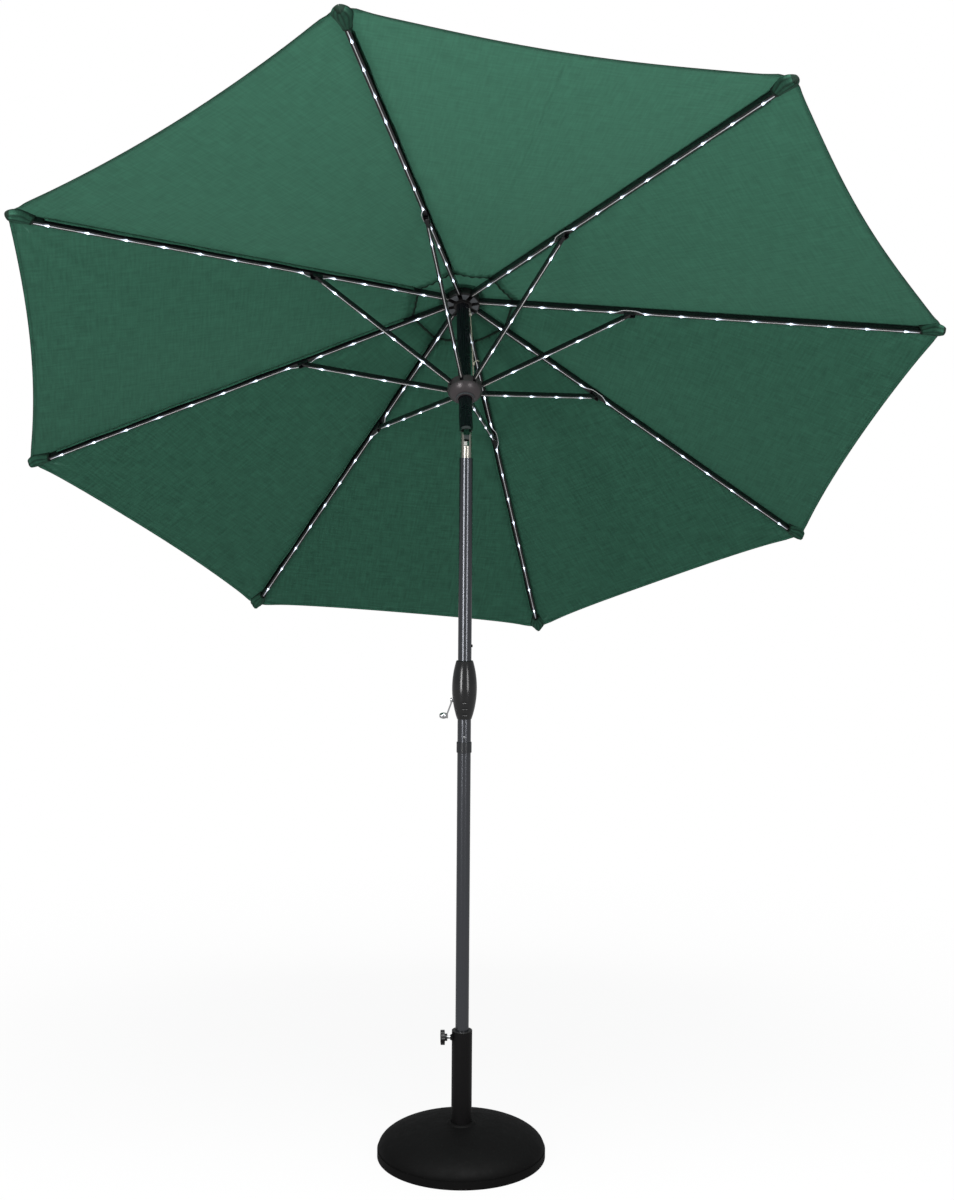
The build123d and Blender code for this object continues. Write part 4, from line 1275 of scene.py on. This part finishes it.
@dataclass
class Canopy:
    """Eight gores of cloth stretched over the ribs, cut into pieces that each ride on one rib.

    Attributes:
        apex: Height where the outer cloth would meet on the pole's axis.
        tip: Radius of the cloth's corners.
        vent: Radius of the opening at the middle.
        hem_sag: How far each hem bows in.
        slack: How far the cloth sinks between the ribs.
        cloth: Its thickness.
        hem_fold: Extra thickness of the turned hem.
        hem_width: Width of the hem.
        keep: Width that a piece would keep when the ribs are lowered; not used.
        waver: Height of the slow unevenness of a gore.
        gather: Height of the gathers at the corners.
        gather_reach: How far they run in.
        pucker: Height of the gathers at the opening.
        pucker_reach: How far they run out.
        pocket_in: How far a pocket covers its rib.
        pocket_out: How far it stands past the rib's end.
        pocket_half: Half its width at its mouth.
        pocket_flare: How much that grows towards the tip.
    """

    apex: float = RIB_HINGE_Z + HINGE_RADIUS * math.tan(DROOP) + CLOTH_LIFT / math.cos(DROOP)
    tip: float = 1.325
    vent: float = 0.150
    hem_sag: float = 0.028
    slack: float = 0.011
    cloth: float = 0.0008
    hem_fold: float = 0.0008
    hem_width: float = 0.006
    keep: float = 0.949
    waver: float = 0.0022
    gather: float = 0.0030
    gather_reach: float = 0.13
    pucker: float = 0.0012
    pucker_reach: float = 0.05
    pocket_in: float = 0.056
    pocket_out: float = 0.0055
    pocket_half: float = 0.0105
    pocket_flare: float = 0.0135

    @property
    def half(self) -> float:
        """Half the angle between two ribs."""
        return RIB_STEP / 2

    @property
    def along(self) -> float:
        """Length down a gore's middle, per unit of radius."""
        return math.hypot(math.cos(self.half), math.tan(DROOP))

    def rib_point(self, rib: int, radius: float) -> Vector:
        """Gives the outer cloth's point over a rib.

        Args:
            rib: The rib's number, from 0.
            radius: The distance from the pole's axis.

        Returns:
            The point, in the leaning pole's frame.
        """
        azimuth = FIRST_AZIMUTH + rib * RIB_STEP
        return Vector(
            (
                radius * math.cos(azimuth), radius * math.sin(azimuth),
                self.apex - radius * math.tan(DROOP),
            )
        )

    def inward(self, gore: int) -> Vector:
        """Gives the direction from a gore's outside to its inside.

        Args:
            gore: The gore's number, from 0.

        Returns:
            The direction, one long.
        """
        azimuth = FIRST_AZIMUTH + (gore + 0.5) * RIB_STEP
        fall, run = math.tan(DROOP), math.cos(self.half)
        return -Vector((math.cos(azimuth) * fall, math.sin(azimuth) * fall, run)).normalized()

    def edge(self, u: float) -> float:
        """Gives the hem's radius at a place across the gore, from -1 to 1."""
        return self.tip - self.hem_sag / self.along * (1 - u * u)

    def sink(self, gore: int, radius: float, u: float) -> float:
        """Gives how far the cloth stands in from the flat gore.

        Args:
            gore: Gore number, the rib before it.
            radius: Radius along the ribs.
            u: Place across the gore, from -1 to 1.

        Returns:
            Distance towards the inside: none on the ribs, most in the middle.
        """
        share = (radius - self.vent) / (self.tip - self.vent)
        across = (1 - u * u) ** 2
        sag = self.slack * across * (0.25 + 0.75 * smooth_step(0.0, 0.75, share))
        slow = math.sin(4.3 * radius + 1.7 * gore) * math.cos(2.1 * u + 0.9 * gore)
        sag += self.waver * across * slow
        half_width = radius * math.sin(self.half)
        for side in (-1, 1):
            beside = half_width * (1 - side * u)
            clear = smooth_step(0.006, 0.045, beside)
            # gathers that run in from each corner
            down = (self.tip - radius) * self.along + 0.012
            turn = math.atan2(beside, down)
            fade = math.exp(-math.hypot(beside, down) / self.gather_reach)
            sag += self.gather * clear * fade * math.sin(15 * turn + 0.6 * gore)
            # short gathers at the opening's edge
            up = (radius - self.vent) * self.along
            fade = math.exp(-up / self.pucker_reach)
            sag += self.pucker * clear * fade * math.sin(260 * beside + 1.3 * gore)
        return sag

    def columns(self) -> list[float]:
        """Gives places from a rib to the middle of its gore, close together by the rib."""
        return [0.0, 0.008, 0.02, 0.04] + [0.07 + 0.93 * step / 26 for step in range(27)]

    def row_radii(self, u: float) -> list[float]:
        """Gives the radii down a column, with lines along both hems.

        Args:
            u: The column's place across the gore, from -1 to 1.

        Returns:
            The radii, from the vent out.
        """
        start, end = self.vent, self.edge(u)
        unit = 1 / self.along
        inner = [0.0, 0.0025, self.hem_width, self.hem_width + 0.0012]
        outer = [self.hem_width + 0.0012, self.hem_width, 0.0025, 0.0]
        low, high = start + inner[-1] * unit, end - outer[0] * unit
        steps = 96
        middle = [low + (high - low) * step / steps for step in range(1, steps)]
        return [start + d * unit for d in inner] + middle + [end - d * unit for d in outer]

    def sheet(self, rib: int) -> Piece:
        """Makes the cloth from mid-gore to mid-gore over one rib.

        Args:
            rib: Rib number, from 0.

        Returns:
            The cloth.
        """
        places = self.columns()
        crease = len(places) - 1
        before, after = (rib - 1) % RIB_COUNT, rib
        fold = (self.inward(before) + self.inward(after)).normalized()
        fold /= fold.dot(self.inward(after))
        courses = [(before, 1 - q) for q in reversed(places)] + [(after, q - 1) for q in places[1:]]
        rows = len(self.row_radii(0.0))
        shell = ClothShell(f"canopy_cloth_{rib + 1}", rows)
        for gore, u in courses:
            on_rib = abs(abs(u) - 1) < 1e-9
            normal = fold if on_rib else self.inward(gore)
            for radius in self.row_radii(u):
                flat = self.rib_point(gore, radius).lerp(
                    self.rib_point(gore + 1, radius), (u + 1) / 2
                )
                lateral = u * radius * math.sin(self.half)
                from_edge = (self.edge(u) - radius) * self.along
                from_vent = (radius - self.vent) * self.along
                near = min(from_edge, from_vent)
                hemmed = near < self.hem_width + 1e-6
                point = ClothPoint(
                    place=flat + self.inward(gore) * self.sink(gore, radius, u), inward=normal,
                    depth=self.cloth + (self.hem_fold if hemmed else 0.0),
                    uv=(lateral, radius * self.along), hem=near, run=lateral,
                    # dark edging: painted shadow of the gap under the vent cap over the hem round
                    # the opening, and a dark line along the outer edge
                    bound=from_vent < self.hem_width + 1e-6 or from_edge < 1e-6,
                )
                shell.points.append(point)
        return shell.build(creases=(crease,))

    def strip(
        self, name: str, reach: tuple[float, float], profile: list[tuple[float, float]],
        ripple: float = 0.0, steps: int = 90,
    ) -> Piece:
        """Makes a sewn strip along rib 1.

        Args:
            name: Piece name.
            reach: Radii where it starts and ends.
            profile: Closed section as (beside the rib, out from the cloth) points, clockwise
                as seen from the tip.
            ripple: How much its lowest points swing in and out.
            steps: Divisions along it.

        Returns:
            The strip.
        """
        points: list[Vector] = []
        faces: list[tuple[int, ...]] = []
        count = len(profile)
        start, end = reach
        lowest = min(out for _, out in profile)
        across = Vector((-math.sin(FIRST_AZIMUTH), math.cos(FIRST_AZIMUTH), 0.0))
        for step in range(steps + 1):
            radius = start + (end - start) * step / steps
            centre = self.rib_point(0, radius)
            swing = ripple * (math.sin(23 * radius) + 0.5 * math.sin(51 * radius + 1.1))
            for beside, out in profile:
                hang = 1.0 if out < lowest * 0.5 else 0.0
                inward = self.inward(0 if beside >= 0 else -1)
                slope = across - inward * across.dot(inward)
                place = centre + slope.normalized() * (beside + swing * hang)
                points.append(place - inward * out)
        for step in range(steps):
            for k in range(count):
                a, b = step * count + k, step * count + (k + 1) % count
                faces.append((a, a + count, b + count, b))
        faces.append(tuple(range(count)))
        faces.append(tuple(reversed(range(steps * count, (steps + 1) * count))))
        piece = new_piece(name, points, faces)
        layer = piece.data.uv_layers.new(name="cloth")
        for loop in piece.data.loops:
            step, k = divmod(loop.vertex_index, count)
            radius = start + (end - start) * step / steps
            layer.data[loop.index].uv = (profile[k][0], radius)
        run = [start + (end - start) * (i // count) / steps for i in range(len(points))]
        hem = [0.009 + 0.0065 - abs(profile[i % count][0]) for i in range(len(points))]
        set_values(piece.data, {"hem": hem, "run": run, "layers": [1.0] * len(points)})
        return piece

    def pocket(self) -> Piece:
        """Makes the sewn pocket that holds rib 1's tip, a puckered pouch under the cloth.

        Returns:
            The pocket.
        """
        member = along_member(FIRST_AZIMUTH, RIB_HINGE_Z, -DROOP)
        around, rings = 36, 30
        mouth, dome = RIB_LENGTH - self.pocket_in, RIB_LENGTH + self.pocket_out
        points: list[Vector] = []
        for ring in range(rings + 1):
            t = ring / rings
            x = mouth + (dome - mouth) * (1 - (1 - t) ** 1.6)
            round_off = math.sqrt(max(0.0, 1 - (max(0.0, x - dome + 0.030) / 0.030) ** 2))
            flare = smooth_step(0.0, 0.62, (x - mouth) / (dome - mouth))
            wide = (self.pocket_half + self.pocket_flare * flare) * round_off + 0.0004
            over_end = math.sqrt(max(0.0, 1 - (max(0.0, x - RIB_LENGTH + 0.001) / 0.0067) ** 2))
            deep = 0.0040 + 0.0158 * over_end
            for step in range(around + 1):
                turn = math.pi * step / around
                side = math.cos(turn)
                # folds that fan out from the rib's end
                fan = 0.0011 * math.sin(15 * side + 3) * math.sin(turn) * flare
                drop = deep * math.sin(turn) ** (0.7 + 2.0 * flare)
                notch = 0.010 * (1 - math.sin(turn)) * (1 - smooth_step(0.0, 0.45, t))
                y = wide * side
                top = RIB_HALF_HEIGHT + 0.0013 - 0.115 * abs(y)
                points.append(member @ Vector((x - notch, y, top - drop + fan)))
        faces = [
            (a, a + 1, a + around + 2, a + around + 1)
            for ring in range(rings)
            for a in range(ring * (around + 1), ring * (around + 1) + around)
        ]
        piece = new_piece("tip_pocket_1", points, faces)
        layer = piece.data.uv_layers.new(name="cloth")
        for loop in piece.data.loops:
            ring, step = divmod(loop.vertex_index, around + 1)
            layer.data[loop.index].uv = (0.002 * step, 0.004 * ring)
        values: dict[str, list[float]] = {"hem": [], "run": [], "layers": [], "bound": []}
        for index in range(len(points)):
            ring, step = divmod(index, around + 1)
            # painted shade over the whole pocket, deeper in its folds and darkest at its mouth,
            # sides and rounded end
            fold = max(0.0, -math.sin(15 * math.cos(math.pi * step / around) + 3)) ** 2
            edge = ring < 2 or ring > rings - 7 or step < 3 or step > around - 3
            values["hem"].append(0.0045 + 0.0045 * ring)
            values["run"].append(0.002 * step)
            values["layers"].append(1.0)
            values["bound"].append(0.95 if edge else 0.35 + 0.5 * fold)
        set_values(piece.data, values)
        bpy.context.view_layer.objects.active = piece
        piece.select_set(True)
        wall = piece.modifiers.new("wall", "SOLIDIFY")
        wall.thickness = 0.0011
        wall.offset = -1.0
        bpy.ops.object.modifier_apply(modifier=wall.name)
        bpy.ops.object.select_all(action="DESELECT")
        return piece

    def build(self, materials: Materials) -> None:
        """Makes the canopy's cloth, seams and pockets.

        Args:
            materials: Material of each slot.
        """
        cloth = materials[Slot.CANOPY_CLOTH]
        tape = self.strip(
            "seam_tape_1", (self.vent + 0.001, self.tip - 0.004),
            [(-0.0090, -0.0001), (-0.0084, 0.0009), (-0.0001, 0.0011)]
            + [(0.0001, 0.0011), (0.0084, 0.0009), (0.0090, -0.0001)],
        )
        flap = self.strip(
            "seam_allowance_1", (self.vent + 0.030, self.tip - 0.085),
            [(0.0085, -0.0006), (0.0103, -0.0006), (0.0150, -0.0125), (0.0141, -0.0128)],
            ripple=0.0016,
        )
        pocket = self.pocket()
        for rib in range(RIB_COUNT):
            body = f"rib_{rib + 1}"
            sheet = self.sheet(rib)
            dress(sheet, cloth)
            sewn = [tape, flap, pocket]
            if rib:
                sewn = [turned_copy(part, f"{part.name[:-1]}{rib + 1}", rib) for part in sewn]
            for part in sewn:
                dress(part, cloth)
                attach(part, body)
            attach(sheet, body)
            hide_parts(f"canopy_panel_{rib + 1}")
            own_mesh(sheet)
            log.info("%s with %s", sheet.name, ", ".join(part.name for part in sewn))


@dataclass
class VentCap:
    """The small octagonal cloth over the canopy's opening, held down by the solar unit.

    Attributes:
        hole: Radius of the hole for the pole.
        top: Radius and height of its flat middle.
        rim: Radius and height of its corners.
        slack: How far it sinks between corners.
        hem_sag: How far each edge bows in.
        cloth: Its thickness.
        hem_fold: Extra thickness of its hem.
        hem_width: Width of its hem.
        steps: Divisions across each gore.
    """

    hole: float = 0.014
    top: tuple[float, float] = (0.062, 0.5182)
    rim: tuple[float, float] = (0.190, 0.480)
    slack: float = 0.004
    hem_sag: float = 0.007
    cloth: float = 0.0008
    hem_fold: float = 0.0007
    hem_width: float = 0.012
    steps: int = 14

    def height(self, radius: float) -> float:
        """Gives the cloth's height over a corner line.

        Args:
            radius: The distance from the pole's axis.

        Returns:
            The height.
        """
        (top_radius, top_z), (rim_radius, rim_z) = self.top, self.rim
        share = max(0.0, radius - top_radius) / (rim_radius - top_radius)
        return top_z + (rim_z - top_z) * share

    def build(self, materials: Materials) -> None:
        """Makes the cap.

        Args:
            materials: Material of each slot.
        """
        half = RIB_STEP / 2
        shell = ClothShell("vent_cap_cloth", 30)
        for gore in range(RIB_COUNT):
            left = FIRST_AZIMUTH + gore * RIB_STEP
            for step in range(self.steps):
                u = 2 * step / self.steps - 1
                end = self.rim[0] - self.hem_sag * (1 - u * u)
                radii = [self.hole + (self.top[0] - self.hole) * k / 7 for k in range(8)]
                slope_end = end - self.hem_width - 0.001
                radii += [self.top[0] + (slope_end - self.top[0]) * k / 18 for k in range(1, 19)]
                radii += [end - self.hem_width, end - 0.006, end - 0.002, end]
                for radius in radii:
                    ends = [
                        Vector((radius * math.cos(a), radius * math.sin(a), self.height(radius)))
                        for a in (left, left + RIB_STEP)
                    ]
                    flat = ends[0].lerp(ends[1], (u + 1) / 2)
                    open_part = smooth_step(self.top[0] + 0.012, self.rim[0], radius)
                    sink = self.slack * (1 - u * u) * open_part
                    pucker = 0.0012 * math.sin(9 * u + gore) * (1 - u * u) * open_part
                    hemmed = radius > end - self.hem_width - 1e-6
                    lateral = u * radius * math.sin(half)
                    point = ClothPoint(
                        place=flat - Vector((0, 0, sink + pucker)), inward=Vector((0, 0, -1)),
                        depth=self.cloth + (self.hem_fold if hemmed else 0.0),
                        uv=(lateral + gore, radius), hem=end - radius, run=lateral,
                    )
                    shell.points.append(point)
        corners = tuple(self.steps * gore for gore in range(RIB_COUNT))
        cap = shell.build(closed=True, creases=corners)
        dress(cap, materials[Slot.CANOPY_CLOTH])
        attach(cap, "top_mast")
        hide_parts("vent_canopy")
        log.info("%s", cap.name)


# ---------------------------------------------------------------- string lights


@dataclass
class StringLights:
    """Wires with small lamps, clipped under every rib and strut.

    Attributes:
        wire: Radius of the wire.
        bead: Radius of a lamp.
        tail: Length of a lamp's tapered outer end.
        throw: Distance over which its glow fades outward.
        back: Distance over which it fades inward.
        painted_wire_glow: Share of the lamps' glow painted on the wire beside them, though the wire
            gives no light.
        painted_glow_reach: Distance over which that painted glow fades.
        rib_lamps: Distances of the lamps along a rib.
        strut_lamps: Distances of the lamps along a strut.
    """

    wire: float = 0.0011
    bead: float = 0.0027
    tail: float = 0.018
    throw: float = 0.007
    back: float = 0.003
    painted_wire_glow: float = 0.10
    painted_glow_reach: float = 0.03
    rib_lamps: tuple[float, ...] = (
        0.104, 0.207, 0.310, 0.413, 0.516, 0.619, 0.722, 0.825, 0.928, 1.031, 1.134, 1.237,
    )
    strut_lamps: tuple[float, ...] = (0.108, 0.211, 0.314, 0.417)

    def lamp(self) -> Mesh:
        """Models one lamp along +X: a bead with a tapered end.

        Returns:
            The lamp's mesh.
        """
        bpy.ops.mesh.primitive_uv_sphere_add(segments=10, ring_count=8, radius=self.bead)
        lamp = active_piece("lamp")
        bpy.ops.object.mode_set(mode="EDIT")
        # the sphere's poles lie on z, so it is turned to lie along the wire
        bpy.ops.transform.rotate(
            value=math.radians(90), orient_axis="Y", center_override=(0, 0, 0)
        )
        bpy.ops.object.mode_set(mode="OBJECT")
        for vertex in lamp.data.vertices:
            if vertex.co.x > 0:
                share = vertex.co.x / self.bead
                vertex.co.x = self.tail * share**1.6
                thin = 1 - 0.45 * share
                vertex.co.y *= thin
                vertex.co.z *= thin
        mesh = lamp.data
        bpy.data.objects.remove(lamp)
        return mesh

    def run(
        self, name: str, member: Matrix, route: list[Point], lamps: tuple[float, ...], lamp: Mesh,
    ) -> Piece:
        """Makes one wire with its lamps.

        Args:
            name: Piece name.
            member: Frame of the rib or strut, in the leaning frame.
            route: The wire's course in that frame.
            lamps: Distances of the lamps along it.
            lamp: Mesh of one lamp.

        Returns:
            The wire and lamps as one piece.
        """
        wire = smooth_line(name, route, 12, self.wire)
        low = min(point[2] for point in route)
        shape = bmesh.new()
        shape.from_mesh(wire)
        for distance in lamps:
            copy = lamp.copy()
            copy.transform(Matrix.Translation((distance, 0, low)))
            shape.from_mesh(copy)
            bpy.data.meshes.remove(copy)
        bmesh.ops.remove_doubles(shape, verts=shape.verts, dist=1e-6)
        bmesh.ops.recalc_face_normals(shape, faces=shape.faces)
        mesh = bpy.data.meshes.new(name)
        shape.to_mesh(mesh)
        shape.free()
        bpy.data.meshes.remove(wire)
        glow = []
        for vertex in mesh.vertices:
            outward = [vertex.co.x - distance for distance in lamps]
            reach = min(d / self.throw if d >= 0 else -d / self.back for d in outward)
            # painted glow: the wire near each lamp shines though it is no lamp
            painted_wire_glow = self.painted_wire_glow * math.exp(-min(abs(d) for d in outward) / self.painted_glow_reach)
            glow.append(max(math.exp(-max(0.0, reach - 0.3)), painted_wire_glow))
        set_values(mesh, {"glow": glow})
        mesh.polygons.foreach_set("use_smooth", [True] * len(mesh.polygons))
        mesh.transform(LEAN @ member)
        piece = bpy.data.objects.new(name, mesh)
        bpy.context.scene.collection.objects.link(piece)
        return piece

    def rib_route(self) -> list[Point]:
        """Gives the wire's course under a rib, out round the strut's bracket.

        Returns:
            The course's points.
        """
        low = -RIB_HALF_HEIGHT - self.wire - 0.0002
        plain = [0.016, 0.060, 0.180, 0.300, 0.428]
        beyond = [0.516, 0.640, 0.800, 0.960, 1.120, 1.275]
        bracket = [(0.440, -0.0060, low), (0.451, -0.0112, low + 0.001)]
        bracket += [(0.490, -0.0112, low + 0.001), (0.502, -0.0060, low)]
        return [(x, 0.0, low) for x in plain] + bracket + [(x, 0.0, low) for x in beyond]

    def strut_route(self) -> list[Point]:
        """Gives the wire's course under a strut.

        Returns:
            The course's points.
        """
        low = -0.0060 - self.wire - 0.0002
        stops = (0.014, 0.060, 0.180, 0.300, 0.400, STRUT_LENGTH - 0.020)
        return [(x, 0.0, low) for x in stops]

    def build(self) -> None:
        """Makes the lights of all ribs and struts."""
        material = LAMP.material()
        lamp = self.lamp()
        rib = along_member(FIRST_AZIMUTH, RIB_HINGE_Z, -DROOP)
        strut = along_member(FIRST_AZIMUTH, STRUT_HINGE_Z, STRUT_SLOPE)
        first = {
            "rib": self.run("rib_lights_1", rib, self.rib_route(), self.rib_lamps, lamp),
            "strut": self.run("strut_lights_1", strut, self.strut_route(), self.strut_lamps, lamp),
        }
        for kind, piece in first.items():
            dress(piece, material)
            for number in range(1, RIB_COUNT + 1):
                copy = piece
                if number > 1:
                    copy = turned_copy(piece, f"{kind}_lights_{number}", number - 1)
                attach(copy, f"{kind}_{number}")
        bpy.data.meshes.remove(lamp)
        log.info("string lights on %d ribs and struts", RIB_COUNT)


# ---------------------------------------------------------------- small fittings


@dataclass
class Fittings:
    """Trim on the hub and the runner.

    Attributes:
        wedge_inner: Inner radius of the hub's grey inserts.
        wedge_outer: Their outer radius.
        wedge_depth: Their thickness.
        hub_floor: Height of the hub's underside.
        slot_half: Half the width of the hub's slots.
        rim_radius: Radius of the rim round the runner's mouth.
        rim_height: Height of that rim.
    """

    wedge_inner: float = 0.0275
    wedge_outer: float = 0.0475
    wedge_depth: float = 0.0011
    hub_floor: float = 0.488
    slot_half: float = 0.0066
    rim_radius: float = 0.0252
    rim_height: float = 0.0045

    def wedge(self) -> Piece:
        """Models the insert between two of the hub's slots.

        Returns:
            The first insert.
        """
        bpy.ops.mesh.primitive_circle_add(
            vertices=128, radius=self.wedge_inner, location=(0, 0, self.hub_floor)
        )
        piece = active_piece("hub_wedge_1")
        bpy.ops.object.mode_set(mode="EDIT")
        bpy.ops.mesh.select_all(action="SELECT")
        grow = self.wedge_outer / self.wedge_inner
        bpy.ops.mesh.extrude_edges_move()
        bpy.ops.transform.resize(value=(grow, grow, 1.0), center_override=(0, 0, self.hub_floor))
        bpy.ops.mesh.select_all(action="SELECT")
        bpy.ops.mesh.extrude_region_move(
            TRANSFORM_OT_translate={"value": (0, 0, -self.wedge_depth)}
        )
        for side in (-1, 1):
            azimuth = FIRST_AZIMUTH + RIB_STEP / 2 + side * RIB_STEP / 2
            across = Vector((math.sin(azimuth), -math.cos(azimuth), 0)) * side
            bpy.ops.mesh.select_all(action="SELECT")
            bpy.ops.mesh.bisect(
                plane_co=across * self.slot_half, plane_no=across, use_fill=True, clear_inner=True,
            )
        bpy.ops.mesh.select_all(action="SELECT")
        bpy.ops.mesh.normals_make_consistent(inside=False)
        bpy.ops.object.mode_set(mode="OBJECT")
        bevel = piece.modifiers.new("edge", "BEVEL")
        bevel.width = 0.0003
        bevel.segments = 2
        finish_piece(piece)
        return piece

    def runner_rim(self) -> Piece:
        """Models the turned rim round the runner's mouth.

        Returns:
            The rim.
        """
        bpy.ops.mesh.primitive_cylinder_add(
            vertices=64, radius=self.rim_radius, depth=self.rim_height, end_fill_type="NOTHING",
            location=(0, 0, 0.1352),
        )
        rim = active_piece("runner_rim")
        bpy.ops.object.mode_set(mode="EDIT")
        bpy.ops.mesh.select_all(action="SELECT")
        bpy.ops.mesh.subdivide(number_cuts=1)
        bpy.ops.object.mode_set(mode="OBJECT")
        wall = rim.modifiers.new("wall", "SOLIDIFY")
        wall.thickness = 0.0018
        wall.offset = 1.0
        bevel = rim.modifiers.new("edge", "BEVEL")
        bevel.width = 0.0005
        bevel.segments = 3
        finish_piece(rim)
        return rim

    def build(self, materials: Materials) -> None:
        """Makes the trim.

        Args:
            materials: Material of each slot; not used.
        """
        grey = WEDGE_GREY.material()
        wedge = self.wedge()
        for number in range(1, RIB_COUNT + 1):
            piece = wedge if number == 1 else turned_copy(wedge, f"hub_wedge_{number}", number - 1)
            dress(piece, grey)
            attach(piece, "top_mast")
        rim = self.runner_rim()
        dress(rim, grey)
        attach(rim, "runner")
        log.info("hub wedges and %s", rim.name)


def dress_frame(materials: Materials) -> None:
    """Gives every CAD node the material of its slot in the record.

    Args:
        materials: Material of each slot.
    """
    hub = HUB_NYLON.material()
    by_slot = {slot.value: material for slot, material in materials.items()}
    for name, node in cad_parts.items():
        for place in node.material_slots:
            base = place.material.name.split(".")[0] if place.material else ""
            if name == "top_hub":
                place.material = hub
            elif base in by_slot:
                place.material = by_slot[base]
            else:
                log.warning("%s has no known slot: %s", name, base)
    log.info("dressed %d CAD nodes", len(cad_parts))


def main() -> None:
    """Builds the studio and the umbrella."""
    logging.basicConfig(level=logging.INFO, format="%(name)s: %(message)s")
    bpy.ops.object.select_all(action="DESELECT")
    Studio().build()
    materials = {slot: finish.material() for slot, finish in FINISHES.items()}
    LiftCord().build(materials)
    Canopy().build(materials)
    VentCap().build(materials)
    StringLights().build()
    Fittings().build(materials)
    dress_frame(materials)


if __name__ == "__main__":
    main()
